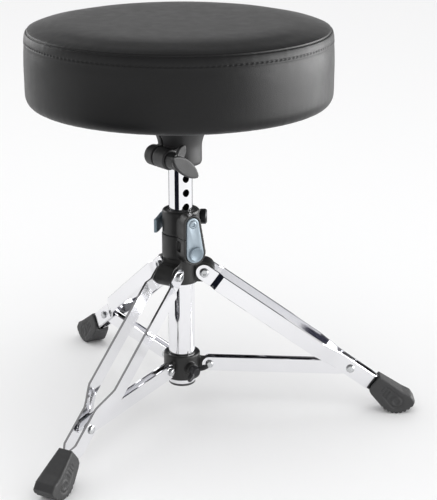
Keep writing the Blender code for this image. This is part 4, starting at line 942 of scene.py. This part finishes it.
def make_foot_mesh():
    down = math.atan2(-math.cos(LEG_SLOPE), math.sin(LEG_SLOPE))
    flat = math.radians(3.4)
    teeth = []
    for i in range(4, -5, -1):
        a = down + i * TOOTH_STEP
        tip = FOOT_R / math.cos(flat)
        for t, r in ((1.0, tip), (-1.0, tip), (-2.5, FOOT_R - 1.9)):
            teeth.append((FOOT_CX + r * math.cos(a + t * flat), FOOT_CZ + r * math.sin(a + t * flat)))
    outline = [(33.4, 11.8), (65.0, 12.6), (76.0, 14.2), (83.6, 11.4)] + teeth[:-1] + [(39.0, -11.8), (34.6, -9.8), (32.4, -4.0)]
    ob = thing("foot", prism("leg_foot", outline, -FOOT_HALF, FOOT_HALF, "XZ"))
    bm = bmesh.new()
    bm.from_mesh(ob.data)
    chosen = []
    for ed in bm.edges:
        a, b = ed.verts[0].co / MM, ed.verts[1].co / MM
        m, d = (a + b) / 2, (b - a).normalized()
        if len(ed.link_faces) == 2 and ed.calc_face_angle(0.0) > 0.3 and m.z > 9.0 and m.x > 27.0 and abs(d.y) < 0.5:
            chosen.append(ed)
    bmesh.ops.bevel(bm, geom=chosen, offset=2.6 * MM, segments=3, affect="EDGES", profile=0.5)
    bm.to_mesh(ob.data)
    bm.free()
    # sunk panel, a plain ring and three bars on each side of the rubber
    for s in (1, -1):
        lo, hi = (FOOT_HALF - 0.9, FOOT_HALF + 3.0) if s > 0 else (-FOOT_HALF - 3.0, -FOOT_HALF + 0.9)
        c0, c1 = (50.0, 0.6), (66.0, -1.6)
        shape = arc(c0[0], c0[1], 6.6, math.pi / 2, 3 * math.pi / 2, 14) + arc(c1[0], c1[1], 8.6, -math.pi / 2, math.pi / 2, 16)
        combine(ob, prism("panel", shape, lo, hi, "XZ"))
        a, b = (FOOT_HALF - 2.5, FOOT_HALF - 0.05) if s > 0 else (-FOOT_HALF + 0.05, -FOOT_HALF + 2.5)
        ring = thing("ring", prism("ring", arc(66.0, -1.6, 5.8, 0, 2 * math.pi, 32)[:-1], a, b, "XZ"))
        combine(ring, prism("eye", arc(66.0, -1.6, 3.9, 0, 2 * math.pi, 28)[:-1], -20.0, 20.0, "XZ"))
        m = ring.data.copy()
        bpy.data.objects.remove(ring, do_unlink=True)
        combine(ob, m, "UNION")
        for x in (46.5, 50.5, 54.5):
            combine(ob, prism("bar", [(x - 0.9, -4.2), (x + 0.9, -4.2), (x + 0.9, 4.8), (x - 0.9, 4.8)], a, b, "XZ"), "UNION")
    mod = ob.modifiers.new("skin", "REMESH")
    mod.mode, mod.voxel_size = "VOXEL", 0.6 * MM
    settle(ob)
    for v in ob.data.vertices:      # narrower towards the ankle
        v.co.y *= 0.70 + 0.30 * min(1.0, (v.co.x / MM - 32.4) / 32.0)
    mouth = [(20.0, W_NARROW + BAR_T + 0.6), (27.5, W_NARROW + BAR_T + 0.5), (38.0, W_FOOT + BAR_T + 0.55), (58.0, W_FOOT + BAR_T + 0.55)]
    ring = mouth + [(x, -y) for x, y in reversed(mouth)]
    combine(ob, prism("socket", ring, -BAR_H / 2 - 0.45, BAR_H / 2 + 0.45, "XY"))
    cast(ob, 0.55, 2)
    mesh = ob.data.copy()
    bpy.data.objects.remove(ob, do_unlink=True)
    return mesh


def make_legs():
    half = BAR_H / 2
    L = LEG_RUN
    path = [(u, h, W_PIVOT) for u, h in rounded(0.0, half, 14)]
    path += joggle(14.0, 20.5, W_PIVOT, W_WIDE, half) + joggle(156.0, 184.0, W_WIDE, W_NARROW, half, 14)
    path += joggle(L + 26.0, L + 37.0, W_NARROW, W_FOOT, half) + [(L + 57.0, half - 0.6, W_FOOT)]
    bars = {}
    for side in (1, -1):
        ob = thing("bar", bar("leg_bar", path, BAR_T, side))
        combine(ob, rod("way", [(-30, 3.4), (30, 3.4)], 28, axis=(0, 1, 0)))
        combine(ob, rod("way", [(-30, 3.0), (30, 3.0)], 28, axis=(0, 1, 0), at=(L, 0, 0)))
        bars[side] = ob.data.copy()
        bpy.data.objects.remove(ob, do_unlink=True)
    foot = make_foot_mesh()
    head = [(14.1, 5.2), (15.0, 5.2), (16.0, 4.9), (16.8, 4.3), (17.2, 3.4)]
    bolt = thing("bolt", rod("bolt", [(-d, r) for d, r in reversed(head)] + [(-14.1, 3.0), (14.1, 3.0)] + head, 40, axis=(0, 1, 0)))
    for s in (1, -1):
        screw_head(bolt, (0, 17.2 * s, 0), (0, s, 0), 2.5, 1.9, "hex")
    bolt_mesh = bolt.data.copy()
    bpy.data.objects.remove(bolt, do_unlink=True)
    rivets = {s: rod("rivet", [(W_NARROW + 0.1, 2.5), (W_NARROW + BAR_T + GAP, 2.5), (W_NARROW + BAR_T + GAP, 4.8), (W_NARROW + BAR_T + 1.2, 4.75), (W_NARROW + BAR_T + 2.0, 4.2), (W_NARROW + BAR_T + 2.6, 2.8)], 36,
                     axis=(0, s, 0)) for s in (1, -1)}
    for k in range(3):
        n, az = k + 1, -2 * math.pi * k / 3
        at = direction(az) * LEG_PIVOT_R * MM
        hub = Matrix.Translation((at.x, at.y, up(LEG_PIVOT_Z))) @ Matrix.Rotation(az, 4, "Z")
        leg = hub @ Matrix.Rotation(LEG_SLOPE, 4, "Y")
        end = leg @ Matrix.Translation((L * MM, 0, 0))
        for name, mesh, spot, body, cad, slot, mat, sharp in (
                (f"leg_{n}_bar_left_fine", bars[1], leg, f"leg_{n}", f"leg_{n}_bar_left", "chrome", CHROME, 35),
                (f"leg_{n}_bar_right_fine", bars[-1], leg, f"leg_{n}", f"leg_{n}_bar_right", "chrome", CHROME, 35),
                (f"leg_{n}_foot_rubber", foot, end, f"leg_{n}", f"leg_{n}_foot", "rubber", RUBBER, 80),
                (f"leg_{n}_pivot_bolt_fine", bolt_mesh, hub, "base", f"leg_{n}_pivot_bolt", "zinc", ZINC, 35),
                (f"leg_{n}_rivet_left_fine", rivets[1], end, f"leg_{n}", f"leg_{n}_rivet_left", "zinc", ZINC, 35),
                (f"leg_{n}_rivet_right_fine", rivets[-1], end, f"leg_{n}", f"leg_{n}_rivet_right", "zinc", ZINC, 35)):
            m = mesh.copy()
            m.transform(spot)
            done(thing(name, m), body, [cad], mat, sharp)


def make_collar():
    z0 = COLLAR_LOW
    h = COLLAR_TOP - z0
    pz = BRACE_IN_Z - z0
    ob = thing("lower_collar_cast", turned("lower_collar_cast", [(CASTING_BORE, 0), (COLLAR_R - 1.4, 0), (COLLAR_R - 0.3, 0.5), (COLLAR_R, 1.6), (COLLAR_R, h - 1.6), (COLLAR_R - 0.3, h - 0.5), (COLLAR_R - 1.4, h), (CASTING_BORE, h)]))
    for k in range(3):
        outline = [(16.5, pz - 8.0), (BRACE_IN_R, pz - 6.6)] + arc(BRACE_IN_R, pz, 6.6, -math.pi / 2, math.pi / 2, 18)[1:] + [(16.5, pz + 8.0)]
        lug = prism("lug", outline, -COLLAR_LUG_HALF, COLLAR_LUG_HALF, "XZ")
        lug.transform(Matrix.Rotation(-2 * math.pi * k / 3, 4, "Z"))
        combine(ob, lug, "UNION")
    b = direction(INDEX_AZ)
    combine(ob, rod("boss", [(16.0, 7.0), (25.5, 7.0), (26.5, 6.0)], 40, axis=b, at=(0, 0, pz)), "UNION")
    combine(ob, rod("bore", [(-3, CASTING_BORE), (h + 3, CASTING_BORE)], COIL))
    combine(ob, rod("way", [(8.0, 3.5), (32.0, 3.5)], 24, axis=b, at=(0, 0, pz)))
    for k in range(3):
        az = -2 * math.pi * k / 3
        u, n = direction(az), direction(az + math.pi / 2)
        start = u * BRACE_IN_R - n * 20.0
        combine(ob, rod("way", [(0, 3.0), (40, 3.0)], 24, axis=n, at=(start.x, start.y, pz)))
    cast(ob, 0.55, 2)
    ob.data.transform(Matrix.Translation((0, 0, up(z0))))
    done(ob, "collar", ["lower_collar"], HUB_CASTING, 80)

    screw = thing("collar_screw_fine", rod("collar_screw", [(15.5, 2.4), (16.2, 3.0), (27.0, 3.0), (27.0, 5.6), (34.0, 5.0), (35.0, 4.0)], 32, axis=(1, 0, 0)))
    for s in (1, -1):
        wing = prism("wing", [(28.5, 0.0), (28.5, 3.0 * s), (33.0, 11.5 * s), (37.0, 14.5 * s), (40.5, 13.0 * s), (39.0, 8.0 * s), (34.0, 3.0 * s), (34.0, 0.0)], -1.5, 1.5, "XY")
        combine(screw, wing, "UNION")
    cast(screw, 0.35, 2)
    screw.data.transform(Matrix.Translation((0, 0, up(BRACE_IN_Z))) @ Matrix.Rotation(INDEX_AZ, 4, "Z") @ Matrix.Rotation(0.5, 4, "X"))
    done(screw, "collar_lock", ["collar_screw"], STEEL, 80)

    half = BRACE_H / 2
    w = COLLAR_LUG_HALF + GAP
    path = [(u, hh, w) for u, hh in rounded(0.0, half, 12)]
    path += [(BRACE_RUN - 12.0, half, w)] + [(u, hh, w) for u, hh in rounded(BRACE_RUN, 7.0, 12, flip=True)]
    bars = {}
    for side in (1, -1):
        ob = thing("bar", bar("brace_bar", path, BRACE_T, side))
        combine(ob, rod("way", [(-30, 2.9), (30, 2.9)], 28, axis=(0, 1, 0)))
        bars[side] = ob.data.copy()
        bpy.data.objects.remove(ob, do_unlink=True)
    out = w + BRACE_T + GAP
    head = [(out, 4.5), (out + 1.2, 4.45), (out + 2.1, 4.0), (out + 2.7, 3.2), (out + 2.9, 2.2)]
    bolt = rod("brace_bolt", [(-d, r) for d, r in reversed(head)] + [(-out, 2.5), (out, 2.5)] + head, 36, axis=(0, 1, 0))
    for k in range(3):
        n, az = k + 1, -2 * math.pi * k / 3
        at = direction(az) * BRACE_IN_R * MM
        hub = Matrix.Translation((at.x, at.y, up(BRACE_IN_Z))) @ Matrix.Rotation(az, 4, "Z")
        hinge = hub @ Matrix.Rotation(BRACE_SLOPE, 4, "Y")
        for name, mesh, spot, body, cad, slot, mat in (
                (f"brace_{n}_bar_left_fine", bars[1], hinge, f"brace_{n}", f"brace_{n}_bar_left", "chrome", CHROME),
                (f"brace_{n}_bar_right_fine", bars[-1], hinge, f"brace_{n}", f"brace_{n}_bar_right", "chrome", CHROME),
                (f"brace_{n}_bolt_fine", bolt, hub, "collar", f"brace_{n}_bolt", "zinc", ZINC)):
            m = mesh.copy()
            m.transform(spot)
            done(thing(name, m), body, [cad], mat)


make_seat()
make_socket()
make_column()
make_sleeve()
make_hub()
make_index()
make_legs()
make_collar()

# ------------------------------------------------------------------ floor, light, camera
def plain(name, colour, rough=0.9):
    mat = bpy.data.materials.new(name)
    mat.use_nodes = True
    t = mat.node_tree
    p = t.nodes["Principled BSDF"]
    p.inputs["Roughness"].default_value = rough
    p.inputs["Specular IOR Level"].default_value = 0.1
    mix = node(t, "ShaderNodeMix", data_type="RGBA")
    mix.inputs[6].default_value = (*[c * 0.985 for c in colour], 1)
    mix.inputs[7].default_value = (*colour, 1)
    n = node(t, "ShaderNodeTexNoise", Scale=3.0, Detail=2.0)
    t.links.new(n.outputs["Fac"], mix.inputs[0])
    t.links.new(mix.outputs[2], p.inputs["Base Color"])
    return mat


bm = bmesh.new()
bmesh.ops.create_circle(bm, cap_ends=True, radius=9.0, segments=96)
floor_mesh = bpy.data.meshes.new("floor")
bm.to_mesh(floor_mesh)
bm.free()
floor = thing("floor", floor_mesh)
floor.location = (0, 0, up(0.0) - 0.0002)
floor.data.materials.append(plain("floor_pale", (0.90, 0.90, 0.90)))
# the floor stays under the feet when the legs hang folded from the hub
fold_pivot = Vector((0.0258, 0.0, 0.1364))
shoe = bpy.data.objects["leg_1_foot_rubber"]
bpy.context.view_layer.update()
swing = Matrix.Rotation(math.radians(45.0), 3, "Y")
rest_z = floor.location.z
fold_z = min((swing @ (shoe.matrix_world @ v.co - fold_pivot)).z for v in shoe.data.vertices) - 0.0002
mark = bpy.data.objects.new("floor_mark", None)
bpy.context.scene.collection.objects.link(mark)
drop = rest_z - fold_pivot.z
mark.location = (fold_pivot.x + (drop * math.cos(math.radians(45.0)) - fold_z) / math.sin(math.radians(45.0)), 0.0, rest_z)
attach(mark, "leg_1")
follow = floor.constraints.new("COPY_LOCATION")
follow.target = mark
follow.use_x = follow.use_y = False


def soft_box(name, power, size, az, el, far, aim=(0, 0, 0.20), glossy=True, diffuse=True, size_y=None, colour=(1, 1, 1)):
    lamp = bpy.data.lights.new(name, "AREA")
    lamp.energy, lamp.color = power, colour
    lamp.shape, lamp.size, lamp.size_y = "RECTANGLE", size, size_y or size
    ob = bpy.data.objects.new(name, lamp)
    bpy.context.scene.collection.objects.link(ob)
    a, e = math.radians(az), math.radians(el)
    ob.location = Vector(aim) + far * Vector((math.cos(a) * math.cos(e), math.sin(a) * math.cos(e), math.sin(e)))
    ob.rotation_mode = "QUATERNION"
    ob.rotation_quaternion = (ob.location - Vector(aim)).to_track_quat("Z", "Y")
    ob.visible_glossy, ob.visible_diffuse = glossy, diffuse
    ob.visible_camera = False
    return ob


soft_box("overhead", 13.0, 3.0, -90.0, 80.0, 2.6, glossy=False)
soft_box("front", 3.0, 1.6, -78.0, 38.0, 2.4, glossy=False)
soft_box("right", 52.0, 2.2, 2.0, 4.0, 1.6, aim=(0, 0, 0.22), size_y=0.85, diffuse=False)
soft_box("left_back", 10.0, 1.0, 140.0, 20.0, 1.9, size_y=1.2, diffuse=False)


def dark_card(name, corners, colour):
    """A card that only mirrors see: it gives the bright metal its dark stripes and outlines."""
    bm = bmesh.new()
    bm.faces.new([bm.verts.new(c) for c in corners])
    mesh = bpy.data.meshes.new(name)
    bm.to_mesh(mesh)
    bm.free()
    ob = thing(name, mesh)
    ob.data.materials.append(plain(name + "_dark", colour, 1.0))
    for way in ("visible_camera", "visible_diffuse", "visible_shadow", "visible_transmission"):
        setattr(ob, way, False)
    return ob


def upright(az, far, half, low, high, shift=0.0):
    mid, along = direction(math.radians(az)) * far, direction(math.radians(az + 90.0))
    return [mid + along * (shift + half * sx) + Vector((0, 0, z)) for sx, z in ((-1, low), (1, low), (1, high), (-1, high))]


dark_card("card_front", upright(-126.0, 0.30, 0.118, -0.033, 0.30), (0.004, 0.005, 0.012))
dark_card("card_back", upright(92.0, 0.42, 0.30, -0.033, 0.34), (0.03, 0.03, 0.05))

world = bpy.data.worlds.new("studio")
bpy.context.scene.world = world
world.use_nodes = True
t = world.node_tree
back = t.nodes["Background"]
coord = node(t, "ShaderNodeTexCoord")
part = node(t, "ShaderNodeSeparateXYZ")
t.links.new(coord.outputs["Generated"], part.inputs[0])
ramp = node(t, "ShaderNodeValToRGB")
t.links.new(part.outputs["Z"], ramp.inputs["Fac"])
stops = [(0.0, 0.98), (0.20, 0.88), (0.32, 0.25), (0.72, 0.20), (0.93, 0.30)]
ramp.color_ramp.elements[0].position, ramp.color_ramp.elements[0].color = stops[0][0], (stops[0][1],) * 3 + (1,)
ramp.color_ramp.elements[1].position, ramp.color_ramp.elements[1].color = stops[-1][0], (stops[-1][1],) * 3 + (1,)
for p, v in stops[1:-1]:
    el = ramp.color_ramp.elements.new(p)
    el.color = (v, v, v, 1)
path = node(t, "ShaderNodeLightPath")
even = node(t, "ShaderNodeMix", data_type="RGBA")
even.inputs[7].default_value = (1.02, 1.02, 1.025, 1)
t.links.new(path.outputs["Is Diffuse Ray"], even.inputs[0])
t.links.new(ramp.outputs["Color"], even.inputs[6])
mix = node(t, "ShaderNodeMix", data_type="RGBA")
mix.inputs[7].default_value = (0.93, 0.93, 0.93, 1)
t.links.new(path.outputs["Is Camera Ray"], mix.inputs[0])
t.links.new(even.outputs[2], mix.inputs[6])
t.links.new(mix.outputs[2], back.inputs["Color"])
back.inputs["Strength"].default_value = 1.0

cam = bpy.data.cameras.new("camera")
cam.lens, cam.sensor_width, cam.sensor_fit = 103.95, 36.0, "AUTO"
cam.clip_start, cam.clip_end = 0.05, 60.0
eye = bpy.data.objects.new("camera", cam)
bpy.context.scene.collection.objects.link(eye)
eye.location = (0.0500, -1.5196, 0.66268)
eye.rotation_euler = (math.radians(71.640), 0.0, math.radians(0.320))
bpy.context.scene.camera = eye
bpy.context.scene.view_settings.view_transform = "Standard"
